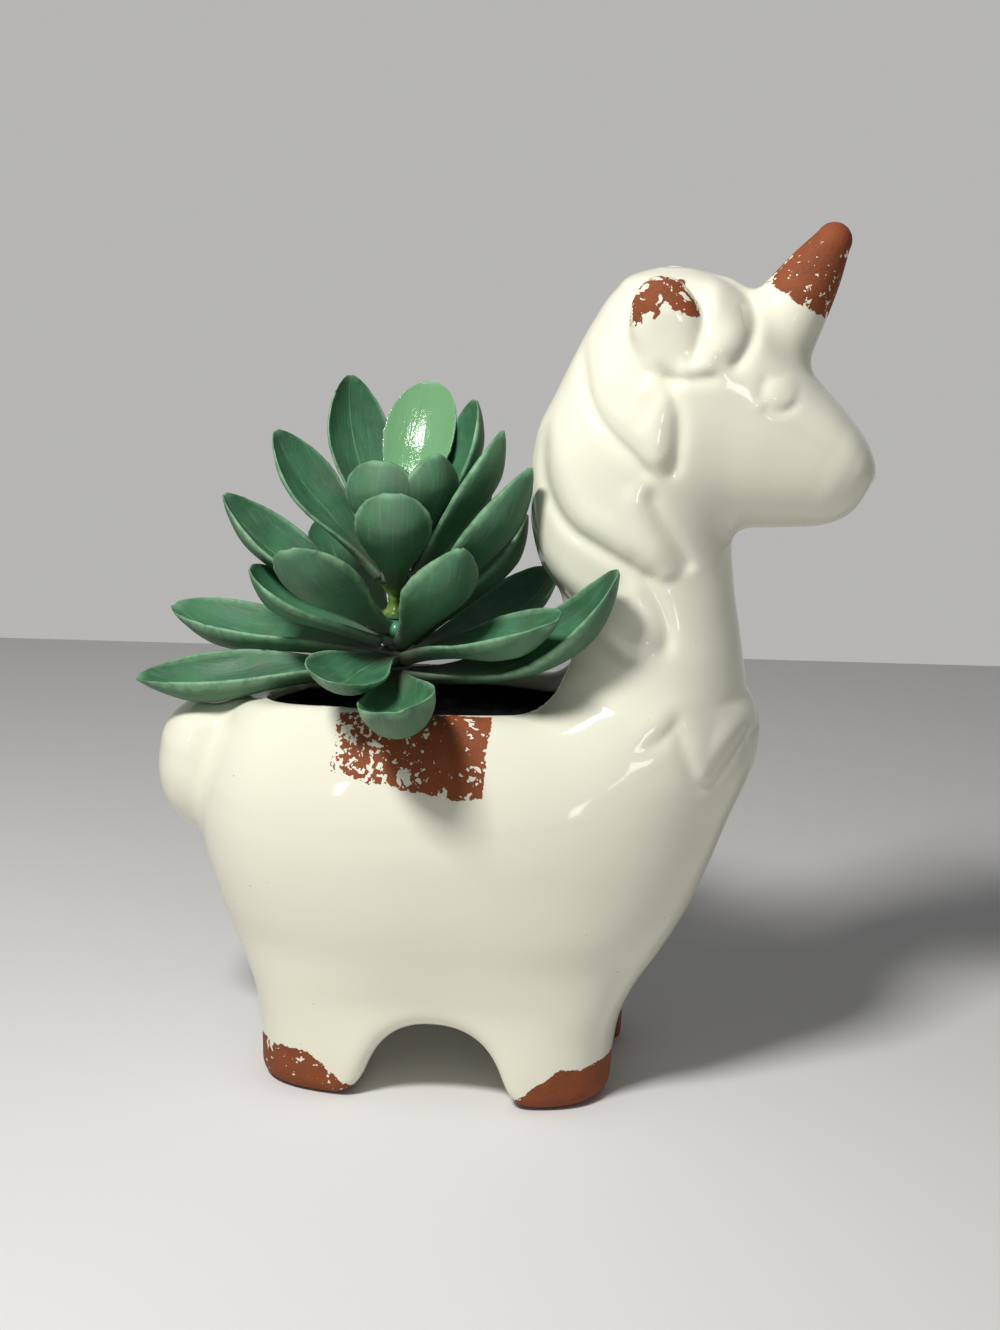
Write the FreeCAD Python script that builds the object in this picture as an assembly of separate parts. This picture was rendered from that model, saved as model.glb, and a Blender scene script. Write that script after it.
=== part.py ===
import FreeCAD, Part
import math
import os

# Ceramic unicorn planter with a moulded succulent that lifts out of its foam.
# Millimetres. X runs from the tail to the muzzle, Y across, Z up from the floor.
# The origin lies on the floor, under the middle of the whole outline.

# Pot: one slip cast
wall = 4.5
rim_height = 93.0
belly_height = 18.5
body_rear = 71.0
body_front = 62.0
body_half_width = 39.0
rim_dip_start = -32.0
rim_dip_angle = 8.5

# Opening in the back, inside a flat rim; its front end runs into the neck
rim_land_rear = 4.8
rim_land_side = 4.1
opening_front_share = 0.436
opening_over_rim = 12.5

# Feet
foot_middle = -7.0
foot_spacing_x = 58.5
foot_spacing_y = 39.0
foot_half_length = 12.4
foot_half_width = 11.0
leg_height = 31.0
leg_lean = 3.0
leg_pocket_radius = 5.0
leg_pocket_tip_radius = 3.0
leg_pocket_floor = 7.0

# Neck, mane and skull, measured up from the rim
neck_root_depth = 27.0
neck_height = 101.6
neck_half_width = 22.0
neck_setback = 0.1

# Head, along an axis from the skull down to the muzzle
head_reach_share = 0.6785
head_rise_share = 0.738
head_length = 47.6
head_drop_angle = 22.8
head_depth = 26.0
head_half_width = 21.0
head_hollow_share = 0.82

# Horn
horn_reach_share = 1.0016
horn_rise_share = 0.8563
horn_length = 25.1
horn_lean_angle = 29.0
horn_base_radius = 9.4
horn_tip_radius = 3.9

# Ears
ear_reach_share = 0.6268
ear_side_share = 0.809
ear_rise_share = 0.9055
ear_height = 22.0
ear_half_length = 7.6
ear_half_thickness = 5.4
ear_lean_angle = 12.0

# Tail, from inside the rump to its rear
tail_below_rim = 6.0
tail_height = 36.5
tail_reach = 11.0
tail_half_width = 14.0
tail_root_depth = 11.0

# Foam wedged in the well
foam_below_rim = 9.0
foam_clearance = 0.3
foam_front_share = 0.8065

# Stem of the plant: a slanting pick, a bend, then an upright stem
stem_x = -24.0
stem_radius = 2.1
stem_end_height = 2.8
stem_collar_radius = 3.3
stem_collar_height = 1.6
stem_fork_height = 3.0
pick_radius = 2.6
pick_length = 54.0
pick_angle = 24.0
pick_clearance = 0.3
pick_point_length = 6.0
pick_point_radius = 1.1
wire_radius = 0.6
wire_stub = 3.0

# Hub rings threaded on the stem: four low ones, then two above a bare stretch
low_hub_count = 4
hub_over_rim = 4.2
hub_step = 3.7
bare_stem_rise = 11.2
top_hub_step = 4.0
hub_radius = 4.2
hub_height = 2.4
hub_gap = 0.15
hub_bore_clearance = 0.05

# Leaves
leaf_length = 50.0
leaf_width = 17.5
leaf_channel = 7.2
leaf_wall = 1.7
leaf_edge = 0.9
leaf_petiole = 1.9

# Body sections from belly to rim: height, rear, front, width and squareness
BODY_SHARES = [
    (0.0, 0.35, 0.19, 0.25, 0.90),
    (0.02, 0.59, 0.45, 0.58, 0.80),
    (0.075, 0.77, 0.62, 0.79, 0.72),
    (0.18, 0.86, 0.735, 0.89, 0.72),
    (0.33, 0.925, 0.81, 0.955, 0.78),
    (0.48, 0.98, 0.865, 0.99, 0.84),
    (0.61, 1.0, 0.915, 1.0, 0.88),
    (0.745, 0.975, 0.955, 0.965, 0.90),
    (0.85, 0.935, 0.985, 0.895, 0.92),
    (0.935, 0.885, 0.975, 0.805, 0.95),
    (1.0, 0.835, 0.93, 0.70, 0.95),
]

# Leg sections from floor to belly: height, lean, length and width
LEG_SHARES = [
    (0.0, 0.0, 0.66, 0.68),
    (0.05, 0.0, 0.86, 0.86),
    (0.16, 0.0, 0.99, 1.0),
    (0.32, 0.0, 1.1, 1.08),
    (0.52, 0.5, 1.36, 1.22),
    (0.74, 1.0, 1.55, 1.38),
    (1.0, 1.0, 1.45, 1.30),
]

# Neck and skull sections from root to crown: height, rear, front and width
NECK_SHARES = [
    (0.0, 0.03, 0.905, 1.18),
    (0.11, 0.06, 1.002, 1.29),
    (0.173, 0.10, 1.005, 1.29),
    (0.22, 0.15, 0.985, 1.23),
    (0.265, 0.20, 0.963, 1.14),
    (0.32, 0.255, 0.943, 1.04),
    (0.365, 0.262, 0.927, 0.97),
    (0.405, 0.25, 0.911, 0.936),
    (0.46, 0.17, 0.895, 0.93),
    (0.515, 0.135, 0.885, 0.95),
    (0.59, 0.121, 0.905, 0.977),
    (0.65, 0.124, 0.937, 1.0),
    (0.71, 0.147, 0.969, 1.0),
    (0.77, 0.203, 1.0, 0.977),
    (0.84, 0.27, 1.03, 0.93),
    (0.905, 0.34, 1.0, 0.84),
    (0.957, 0.412, 0.92, 0.66),
    (0.985, 0.476, 0.81, 0.45),
    (1.0, 0.565, 0.695, 0.16),
]

# Head sections from skull to nose: along, above, below and width
HEAD_SHARES = [
    (0.0, 0.92, 1.0, 1.0),
    (0.21, 0.85, 1.0, 0.98),
    (0.42, 0.66, 0.96, 0.905),
    (0.59, 0.52, 0.835, 0.81),
    (0.755, 0.39, 0.665, 0.70),
    (0.88, 0.27, 0.52, 0.58),
    (0.95, 0.19, 0.39, 0.45),
    (0.985, 0.125, 0.25, 0.30),
    (1.0, 0.06, 0.12, 0.15),
]

# Tail sections from tip to top: height, rear and width
TAIL_SHARES = [
    (0.0, 0.05, 0.30),
    (0.11, 0.60, 0.64),
    (0.25, 0.86, 0.86),
    (0.47, 1.0, 1.0),
    (0.66, 0.98, 1.0),
    (0.80, 0.88, 0.93),
    (0.92, 0.60, 0.78),
    (1.0, 0.25, 0.50),
]

# Ear sections from root to tip: along and radius
EAR_SHARES = [
    (0.0, 0.45), (0.14, 0.78), (0.36, 1.0), (0.58, 0.97), (0.78, 0.76), (0.92, 0.46), (1.0, 0.12),
]

# Leaf sections from hub to tip: along, width and channel depth
LEAF_SHARES = [
    (0.0, 0.30, 0.05),
    (0.12, 0.33, 0.15),
    (0.28, 0.52, 0.36),
    (0.46, 0.80, 0.62),
    (0.64, 1.0, 0.94),
    (0.80, 0.90, 0.86),
    (0.92, 0.60, 0.54),
    (1.0, 0.15, 0.06),
]

# Leaves of each whorl from the lowest up: azimuth, share of the leaf length,
# pitch at the hub, pitch at the tip, roll and share of the channel depth
WHORL_SHARES = [
    ("leaf_whorl_1_lowest", [
        (188.0, 1.25, 3.0, -11.0, -12.0, 0.88),
        (281.0, 1.20, 4.0, 6.0, 13.0, 0.96),
        (330.0, 1.47, 6.0, 50.0, 38.0, 0.75),
        (98.0, 1.20, 14.0, -14.0, 0.0, 0.6),
    ]),
    ("leaf_whorl_2", [
        (166.0, 1.22, 7.0, 4.0, -10.0, 0.85),
        (260.0, 0.88, 10.0, -1.0, -14.0, 0.52),
        (318.0, 1.20, 24.0, 14.0, 18.0, 0.75),
        (35.0, 0.92, 14.0, 36.0, 10.0, 0.6),
    ]),
    ("leaf_whorl_3", [
        (194.0, 0.78, 22.0, 34.0, -10.0, 0.55),
        (301.0, 1.0, 36.0, 48.0, 0.0, 0.55),
        (15.0, 0.88, 42.0, 54.0, 0.0, 0.55),
        (128.0, 0.92, 24.0, 40.0, 0.0, 0.55),
    ]),
    ("leaf_whorl_4", [
        (178.0, 1.04, 34.0, 38.0, -14.0, 0.58),
        (240.0, 0.9, 30.0, 36.0, 20.0, 0.55),
        (333.0, 1.14, 46.0, 55.0, 0.0, 0.5),
        (66.0, 0.96, 40.0, 54.0, 0.0, 0.55),
    ]),
    ("leaf_whorl_5", [
        (180.0, 0.92, 49.0, 54.0, -24.0, 0.35),
        (277.0, 0.66, 36.0, 70.0, 0.0, 0.5),
        (350.0, 0.92, 54.0, 64.0, 0.0, 0.45),
        (98.0, 0.8, 50.0, 66.0, 0.0, 0.45),
    ]),
    ("leaf_whorl_6_top", [
        (262.0, 0.62, 56.0, 80.0, 0.0, 0.45),
        (316.0, 0.66, 60.0, 74.0, 0.0, 0.35),
        (38.0, 0.88, 63.0, 77.0, 0.0, 0.45),
        (76.0, 0.9, 69.0, 83.0, 0.0, 0.45),
        (134.0, 0.98, 56.0, 75.0, 0.0, 0.45),
    ]),
]

SECTION_POINTS = 16
UNIT_X = FreeCAD.Vector(1, 0, 0)
UNIT_Y = FreeCAD.Vector(0, 1, 0)
UNIT_Z = FreeCAD.Vector(0, 0, 1)


def turned(angle):
    """Unit vector in the XZ plane, leaning the given degrees from +Z to +X."""
    lean = math.radians(angle)
    return FreeCAD.Vector(math.sin(lean), 0, math.cos(lean))


def closed_section(centre, side_u, side_v, above, below, half_width, square_share=1.0):
    """Closed smooth outline with its own reach above, below and to each side."""
    points = []
    for index in range(SECTION_POINTS):
        angle = 2 * math.pi * index / SECTION_POINTS
        cosine, sine = math.cos(angle), math.sin(angle)
        along = math.copysign(abs(cosine) ** square_share, cosine)
        across = math.copysign(abs(sine) ** square_share, sine)
        reach = above if along > 0 else below
        points.append(centre + side_u * (reach * along) + side_v * (half_width * across))
    curve = Part.BSplineCurve()
    curve.interpolate(Points=points, PeriodicFlag=True)
    return Part.Wire(curve.toShape())


def level_section(height, rear, front, half_width, square_share=1.0):
    """Horizontal outline from rear to front about the XZ plane."""
    middle = (rear + front) / 2
    reach = (front - rear) / 2
    centre = FreeCAD.Vector(middle, 0, height)
    return closed_section(centre, UNIT_X, UNIT_Y, reach, reach, half_width, square_share)


def smooth_loft(sections):
    return Part.makeLoft(sections, True, False)


def body_row(share):
    """Rear, front, width and squareness of the body at a share of its height."""
    for low, high in zip(BODY_SHARES, BODY_SHARES[1:]):
        if low[0] <= share <= high[0]:
            part = (share - low[0]) / (high[0] - low[0])
            return [a + (b - a) * part for a, b in zip(low[1:], high[1:])]
    return list(BODY_SHARES[-1][1:])


def body_section(height, inset=0.0):
    share = (height - belly_height) / (rim_height - belly_height)
    rear, front, width, squareness = body_row(share)
    return level_section(height, inset - body_rear * rear, body_front * front - inset,
                         body_half_width * width - inset, squareness)


def body_heights(low, high):
    """The table's heights that lie between two heights, with both ends."""
    depth = rim_height - belly_height
    inner = [belly_height + depth * row[0] for row in BODY_SHARES]
    margin = wall / 2
    return [low] + [z for z in inner if low + margin < z < high - margin] + [high]


def body_outer():
    depth = rim_height - belly_height
    return smooth_loft([body_section(belly_height + depth * row[0]) for row in BODY_SHARES])


def body_hollow(top, clearance=0.0):
    floor = belly_height + wall
    inset = wall + clearance
    return smooth_loft([body_section(z, inset) for z in body_heights(floor, top)])


def neck_point(reach_share, side, rise_share):
    """Point placed by the neck's own reach and height."""
    reach = (body_front - neck_setback) * reach_share
    return FreeCAD.Vector(reach, side, rim_height + neck_height * rise_share)


def neck_sections(inset, low_share, high_share):
    root = rim_height - neck_root_depth
    neck_front = body_front - neck_setback
    rows = [row for row in NECK_SHARES if low_share <= row[0] <= high_share]
    span = neck_height + neck_root_depth
    sections = []
    for height, rear, front, width in rows:
        sections.append(level_section(root + span * height, neck_front * rear + inset,
                                      neck_front * front - inset,
                                      neck_half_width * width - inset))
    return sections


def head_shape(inset, length_share):
    """Head from skull to nose; the hollow is the same form, smaller and shorter."""
    axis = turned(90 + head_drop_angle)
    up = turned(head_drop_angle)
    start = neck_point(head_reach_share, 0, head_rise_share)
    sections = []
    for along, above, below, width in HEAD_SHARES:
        if along <= length_share:
            centre = start + axis * (head_length * along)
            sections.append(closed_section(centre, up, UNIT_Y, head_depth * above - inset,
                                           head_depth * below - inset,
                                           head_half_width * width - inset))
    return smooth_loft(sections)


def leg(side_x, side_y):
    """One leg, wider toward the belly and leaning toward the arch."""
    x = foot_middle + side_x * foot_spacing_x / 2
    y = side_y * foot_spacing_y / 2
    sections = []
    for height, lean, length, width in LEG_SHARES:
        centre = FreeCAD.Vector(x - side_x * leg_lean * lean, y - side_y * leg_lean * lean,
                                leg_height * height)
        sections.append(closed_section(centre, UNIT_X, UNIT_Y, foot_half_length * length,
                                       foot_half_length * length, foot_half_width * width))
    return smooth_loft(sections)


def leg_pocket(side_x, side_y):
    """Tapered hollow that the poured slip leaves in a leg."""
    x = foot_middle + side_x * foot_spacing_x / 2
    y = side_y * foot_spacing_y / 2
    depth = belly_height + 2 * wall - leg_pocket_floor
    return Part.makeCone(leg_pocket_tip_radius, leg_pocket_radius, depth,
                         FreeCAD.Vector(x, y, leg_pocket_floor), UNIT_Z)


def legs(maker):
    return [maker(side_x, side_y) for side_x in (-1, 1) for side_y in (-1, 1)]


def horn():
    axis = turned(horn_lean_angle)
    base = neck_point(horn_reach_share, 0, horn_rise_share)
    tip = base + axis * horn_length
    cone = Part.makeCone(horn_base_radius, horn_tip_radius, horn_length, base, axis)
    return cone.fuse(Part.makeSphere(horn_tip_radius, tip))


def ear(side_y):
    axis = turned(-ear_lean_angle)
    side = turned(90 - ear_lean_angle)
    middle = neck_point(ear_reach_share, side_y * neck_half_width * ear_side_share, ear_rise_share)
    root = middle - axis * (ear_height / 2)
    sections = []
    for along, radius in EAR_SHARES:
        sections.append(closed_section(root + axis * (ear_height * along), side, UNIT_Y,
                                       ear_half_length * radius, ear_half_length * radius,
                                       ear_half_thickness * radius))
    return smooth_loft(sections)


def tail():
    bottom = rim_height - tail_below_rim - tail_height
    sections = []
    for height, rear, width in TAIL_SHARES:
        sections.append(level_section(bottom + tail_height * height,
                                      -body_rear - tail_reach * rear,
                                      tail_root_depth - body_rear, tail_half_width * width))
    return smooth_loft(sections)


def rim_dip_cutter():
    """Block above the rear of the rim, which slopes down toward the tail."""
    length = 2 * body_rear
    width = 4 * body_half_width
    block = Part.makeBox(length, width, rim_height,
                         FreeCAD.Vector(rim_dip_start - length, -width / 2, rim_height))
    block.rotate(FreeCAD.Vector(rim_dip_start, 0, rim_height), UNIT_Y, -rim_dip_angle)
    return block


def opening_cutter():
    """Egg shaped opening whose front end runs through the neck's rear wall."""
    low = rim_height - 2 * wall
    rear, _, width, _ = BODY_SHARES[-1][1:]
    section = level_section(low, rim_land_rear - body_rear * rear,
                            (body_front - neck_setback) * opening_front_share,
                            body_half_width * width - rim_land_side)
    return Part.Face(section).extrude(UNIT_Z * (rim_height + opening_over_rim - low))


def planter_shell():
    """Slip cast pot: body, legs, neck, head, horn, ears and tail are one piece."""
    outer = body_outer()
    outer = outer.fuse(legs(leg))
    outer = outer.fuse(tail()).cut(rim_dip_cutter())
    skull = smooth_loft(neck_sections(0.0, 0.0, 1.0)).fuse([ear(-1), ear(1)])
    outer = outer.fuse(skull).fuse(head_shape(0.0, 1.0)).fuse(horn())
    hollow = body_hollow(rim_height - wall)
    neck_hollow = smooth_loft(neck_sections(wall, 0.1, 0.96))
    shell = outer.cut([hollow, neck_hollow, head_shape(wall, head_hollow_share)])
    return shell.cut([opening_cutter()] + legs(leg_pocket))


def hub_heights():
    """Middle of each hub ring, from the lowest up."""
    low = [rim_height + hub_over_rim + hub_step * index for index in range(low_hub_count)]
    fifth = low[-1] + bare_stem_rise
    return low + [fifth, fifth + top_hub_step]


def stem_line():
    """Bend below the lowest hub and the direction that the pick points up along."""
    bend_height = hub_heights()[0] - hub_height / 2 - pick_radius - hub_gap
    return FreeCAD.Vector(stem_x, 0, bend_height), turned(-pick_angle)


def stem_top():
    return hub_heights()[-1] + hub_height / 2 + stem_end_height


def bent_rod(upright_radius, slant_radius, stub, top):
    """Slanting rod, ball at the bend and upright rod as one solid."""
    bend, axis = stem_line()
    length = pick_length + stub
    slant = Part.makeCylinder(slant_radius, length, bend - axis * length, axis)
    upright = Part.makeCylinder(upright_radius, top - bend.z, bend, UNIT_Z)
    return slant.fuse([Part.makeSphere(slant_radius, bend), upright]).removeSplitter()


def stem_wire():
    return bent_rod(wire_radius, wire_radius, wire_stub, stem_top() - stem_collar_height)


def plant_stem():
    """Stem with its pick, a collar on the fourth hub and a fork under the fifth."""
    bend, axis = stem_line()
    stem = bent_rod(stem_radius, pick_radius, -pick_point_length, stem_top())
    point = Part.makeCone(pick_point_radius, pick_radius, pick_point_length,
                          bend - axis * pick_length, axis)
    top_low_hub = hub_heights()[low_hub_count - 1]
    collar_low = top_low_hub + hub_height / 2 + hub_gap
    collar = Part.makeCylinder(stem_collar_radius, stem_collar_height,
                               FreeCAD.Vector(stem_x, 0, collar_low), UNIT_Z)
    fork_top = hub_heights()[low_hub_count] - hub_height / 2 - hub_gap
    fork = Part.makeCone(stem_radius, hub_radius, stem_fork_height,
                         FreeCAD.Vector(stem_x, 0, fork_top - stem_fork_height), UNIT_Z)
    return stem.fuse([point, collar, fork]).removeSplitter().cut(stem_wire())


def foam_block():
    bend, axis = stem_line()
    block = body_hollow(rim_height - wall, foam_clearance)
    width = 4 * body_half_width
    above = Part.makeBox(4 * body_rear, width, rim_height,
                         FreeCAD.Vector(-2 * body_rear, -width / 2,
                                        rim_height - foam_below_rim))
    beyond = Part.makeBox(body_front, width, rim_height,
                          FreeCAD.Vector(body_front * foam_front_share, -width / 2,
                                         belly_height))
    bore_radius = pick_radius + pick_clearance
    bore_length = pick_length + wire_stub
    bore = Part.makeCylinder(bore_radius, bore_length, bend - axis * bore_length, axis)
    return block.cut([above, beyond, bore])


def leaf_frame(azimuth, pitch, roll):
    """Directions along, across and out of the upper face of a leaf."""
    heading, rise, twist = (math.radians(angle) for angle in (azimuth, pitch, roll))
    level = FreeCAD.Vector(math.cos(heading), math.sin(heading), 0)
    across = FreeCAD.Vector(-math.sin(heading), math.cos(heading), 0)
    along = level * math.cos(rise) + UNIT_Z * math.sin(rise)
    out = UNIT_Z * math.cos(rise) - level * math.sin(rise)
    return (along, across * math.cos(twist) + out * math.sin(twist),
            out * math.cos(twist) - across * math.sin(twist))


def leaf_section(centre, across, out, half_width, channel, wall_thickness):
    """Boat shaped outline: a hollow upper face over a keeled underside."""
    lift = out * (leaf_edge / 2)
    low_face = centre - out * channel
    keel = low_face - out * wall_thickness
    left, right = centre - across * half_width, centre + across * half_width
    edges = [
        Part.Arc(right + lift, low_face, left + lift).toShape(),
        Part.LineSegment(left + lift, left - lift).toShape(),
        Part.Arc(left - lift, keel, right - lift).toShape(),
        Part.LineSegment(right - lift, right + lift).toShape(),
    ]
    return Part.Wire(edges)


def leaf(height, azimuth, length_share, pitch_start, pitch_end, roll, channel_share):
    """Leaf along an arc that starts inside the hub ring."""
    start_radius = (stem_radius + hub_radius) / 2
    along, _, _ = leaf_frame(azimuth, 0.0, 0.0)
    centre = FreeCAD.Vector(stem_x, 0, height) + along * start_radius
    reach = leaf_length * length_share - start_radius
    sections = []
    last_share = 0.0
    for share, width, depth in LEAF_SHARES:
        middle = pitch_start + (pitch_end - pitch_start) * (share + last_share) / 2
        step, _, _ = leaf_frame(azimuth, middle, 0.0)
        centre = centre + step * (reach * (share - last_share))
        pitch = pitch_start + (pitch_end - pitch_start) * share
        _, across, out = leaf_frame(azimuth, pitch, roll * min(1.0, 2 * share))
        thickness = leaf_wall + (leaf_petiole - leaf_wall) * max(0.0, 1 - 4 * share)
        tip_share = min(1.0, 0.35 + 3 * (1 - share))
        sections.append(leaf_section(centre, across, out, leaf_width * width / 2,
                                     leaf_channel * channel_share * depth,
                                     thickness * tip_share))
        last_share = share
    return smooth_loft(sections)


def leaf_whorl(height, leaves):
    """Leaves moulded on one hub ring that threads on the stem."""
    low = FreeCAD.Vector(stem_x, 0, height - hub_height / 2)
    ring = Part.makeCylinder(hub_radius, hub_height, low, UNIT_Z)
    bore = Part.makeCylinder(stem_radius + hub_bore_clearance, 4 * hub_height,
                             low - UNIT_Z * hub_height, UNIT_Z)
    blades = [leaf(height, *row) for row in leaves]
    return ring.fuse(blades).cut(bore)


def export(name, shape):
    solids = shape.Solids
    result = solids[0] if len(solids) == 1 else Part.makeCompound(solids)
    result.exportStep("parts/" + name + ".step")
    box = result.optimalBoundingBox()
    print("%-22s solids %d valid %s volume %.0f  x %.1f %.1f  y %.1f %.1f  z %.1f %.1f" % (
        name, len(solids), result.isValid(), result.Volume, box.XMin, box.XMax, box.YMin,
        box.YMax, box.ZMin, box.ZMax))


os.makedirs("parts", exist_ok=True)
export("planter_shell", planter_shell())
export("foam_block", foam_block())
export("plant_stem", plant_stem())
export("stem_wire", stem_wire())
for (whorl_name, whorl_leaves), whorl_height in zip(WHORL_SHARES, hub_heights()):
    export(whorl_name, leaf_whorl(whorl_height, whorl_leaves))
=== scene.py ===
import math

import bpy
import numpy as np
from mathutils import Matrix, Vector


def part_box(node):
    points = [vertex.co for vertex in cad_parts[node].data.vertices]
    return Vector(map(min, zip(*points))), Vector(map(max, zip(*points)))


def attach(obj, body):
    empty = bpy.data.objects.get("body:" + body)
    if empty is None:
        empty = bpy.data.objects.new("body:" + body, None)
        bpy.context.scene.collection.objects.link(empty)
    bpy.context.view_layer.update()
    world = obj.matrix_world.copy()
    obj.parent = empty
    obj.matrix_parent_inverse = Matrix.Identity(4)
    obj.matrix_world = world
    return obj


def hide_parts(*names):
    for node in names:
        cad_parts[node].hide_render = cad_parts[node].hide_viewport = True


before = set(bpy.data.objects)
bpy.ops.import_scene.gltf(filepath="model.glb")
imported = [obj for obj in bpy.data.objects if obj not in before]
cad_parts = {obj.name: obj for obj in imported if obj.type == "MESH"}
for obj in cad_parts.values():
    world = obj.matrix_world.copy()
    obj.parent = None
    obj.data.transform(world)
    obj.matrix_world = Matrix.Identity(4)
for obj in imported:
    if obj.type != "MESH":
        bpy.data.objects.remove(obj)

import openvdb
from mathutils import Matrix, Vector

bl_info = {
    "name": "Unicorn planter",
    "version": (1, 0, 0),
    "blender": (4, 5, 0),
    "location": "3D View > Sidebar > Planter",
    "description": "Slip cast unicorn planter with a chipped cream glaze and a moulded succulent",
    "category": "Add Mesh",
}

# Tables and points are in millimetres, and everything that is built is in metres.
MM = 0.001

# Pot from the feet's soles to the rim: height, rear, front, half width, squareness
BODY_ROWS = [
    (0.0, -52.2, 32.6, 33.0, 0.46),
    (1.6, -52.4, 32.9, 33.3, 0.47),
    (5.0, -52.5, 33.0, 33.4, 0.48),
    (9.9, -52.7, 33.1, 33.2, 0.48),
    (16.1, -53.5, 33.9, 32.8, 0.49),
    (22.9, -55.3, 36.2, 32.9, 0.52),
    (28.0, -58.2, 39.2, 33.9, 0.62),
    (33.0, -61.3, 42.8, 35.0, 0.72),
    (43.1, -65.7, 48.6, 37.2, 0.78),
    (54.3, -69.6, 53.3, 38.6, 0.84),
    (63.9, -71.0, 56.7, 39.0, 0.88),
    (74.0, -69.2, 59.2, 37.6, 0.90),
    (81.8, -66.4, 61.1, 34.9, 0.92),
    (88.2, -62.8, 60.5, 31.4, 0.95),
    (93.0, -59.3, 57.7, 27.3, 0.95),
    (97.0, -54.0, 54.0, 22.0, 0.95),
]
# The rim is level up to where it dips towards the tail.
RIM_HEIGHT = 93.0
RIM_DIP_START = -32.0
RIM_DIP_SLOPE = 0.149

# Arch between front and rear legs and gap between left and right legs:
# middle, half width, height and squareness of each
ARCH = (-7.6, 16.9, 18.7, 0.86)
LEG_GAP = (0.0, 9.0, 18.6, 0.90)
# Depth of the middle of their ovals under the floor
TUNNEL_SINK = 2.0
# How far the legs draw in at their soles, and over what height
SOLE_FLARE = (3.0, 3.2)

# Neck, mane and crown: height, rear, front, half width
NECK_ROWS = [
    (57.0, 8.0, 42.0, 18.0),
    (65.0, 4.0, 50.5, 22.5),
    (73.0, 3.0, 57.6, 26.0),
    (80.1, 3.7, 60.8, 28.0),
    (88.2, 6.2, 61.4, 28.4),
    (94.3, 9.3, 60.3, 27.1),
    (100.1, 12.4, 59.6, 25.1),
    (107.2, 15.8, 58.4, 22.9),
    (112.9, 16.2, 57.4, 21.3),
    (118.1, 15.5, 56.4, 20.6),
    (125.2, 10.5, 55.4, 20.5),
    (132.2, 8.4, 54.8, 20.9),
    (141.9, 7.5, 56.0, 21.5),
    (149.6, 7.7, 58.0, 22.0),
    (157.3, 9.1, 60.0, 22.0),
    (165.0, 12.6, 61.9, 21.5),
    (174.0, 16.7, 63.8, 20.5),
    (182.4, 21.0, 61.9, 18.5),
    (189.1, 25.5, 56.9, 14.5),
    (192.7, 29.5, 50.1, 9.9),
    (194.6, 35.0, 43.0, 3.5),
]

# Head along its axis: along, reach above, reach below, half width
HEAD_ROWS = [
    (0.0, 23.9, 27.0, 21.0),
    (10.0, 22.1, 27.2, 20.6),
    (20.0, 17.2, 26.2, 19.0),
    (28.1, 13.5, 22.9, 17.0),
    (35.9, 10.1, 19.0, 14.8),
    (41.9, 7.0, 15.7, 12.6),
    (45.2, 4.6, 12.8, 10.3),
    (47.0, 2.8, 10.2, 8.0),
    (48.2, 1.4, 7.0, 5.2),
    (48.8, 0.6, 3.6, 2.6),
]
# Start of the head's axis as x and height, and its drop in degrees
HEAD_START = (42.0, 168.0)
HEAD_DROP = 22.8

# Tail from tip to top: height, rear, front, half width
TAIL_ROWS = [
    (52.8, -71.0, -60.0, 4.2),
    (56.6, -76.4, -60.0, 8.6),
    (61.6, -80.2, -60.0, 11.8),
    (68.6, -82.0, -60.0, 14.0),
    (74.6, -81.8, -60.0, 14.0),
    (79.7, -80.7, -60.0, 13.0),
    (84.1, -77.6, -60.0, 10.9),
    (87.0, -73.8, -60.0, 7.0),
]

# Horn: base as x and height, lean in degrees, and radius along it
HORN_BASE = (62.0, 180.0)
HORN_LEAN = 29.0
HORN_ROWS = [(-8.0, 11.0), (0.0, 9.6), (10.0, 7.9), (18.0, 6.2), (25.1, 4.1)]
# Ear: middle, radii and lean, and the hollow in it as middle, radii and depth
EAR_CENTRE = (38.6, 17.4, 183.2)
EAR_RADII = (8.0, 5.6, 10.8)
EAR_LEAN = -12.0
EAR_HOLLOW = (-0.3, -2.6, 5.4, 6.4, 1.15)
# Opening in the back: rear, front, half width, top
OPENING = (-54.5, 27.0, 23.2, 105.5)
# Roundings where the forms of the cast meet
ROUND = {"sole": 4.0, "rim": 3.0, "jaw": 5.0, "legs": 5.0, "tail": 4.0, "ear": 2.2,
         "horn": 4.0, "mouth": 3.0, "floor": 1.0, "well": 1.5, "lip": 2.4}
# Depths under the outer form between which the cast's face becomes the well's
WELL_BAND = (-3.2, -2.0)

# Chips in the glaze. Saddle: rear, front, distance from the middle plane, lowest
# height, where along it is lowest and its rise away from there
SADDLE_CHIP = (-32.5, 3.4, 24.5, 76.5, -3.0, 0.10)
# Soles: middle between the legs, distance from it where they start, rise and top
SOLE_CHIP = (-7.6, 16.3, 0.75, 10.3)
# Ears: half width and half height of the chip's oval, its lower edge and that edge's
# rise, the glaze left in it as middle and half sizes, and the sides it ends at
EAR_CHIP = (7.6, 10.6)
EAR_CHIP_EDGE = (0.8, 0.18)
EAR_CHIP_NOTCH = (1.4, -0.8, 4.2, 4.4)
EAR_CHIP_SIDES = (-10.5, 12.5)
HORN_CHIP_START = 9.8

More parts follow.
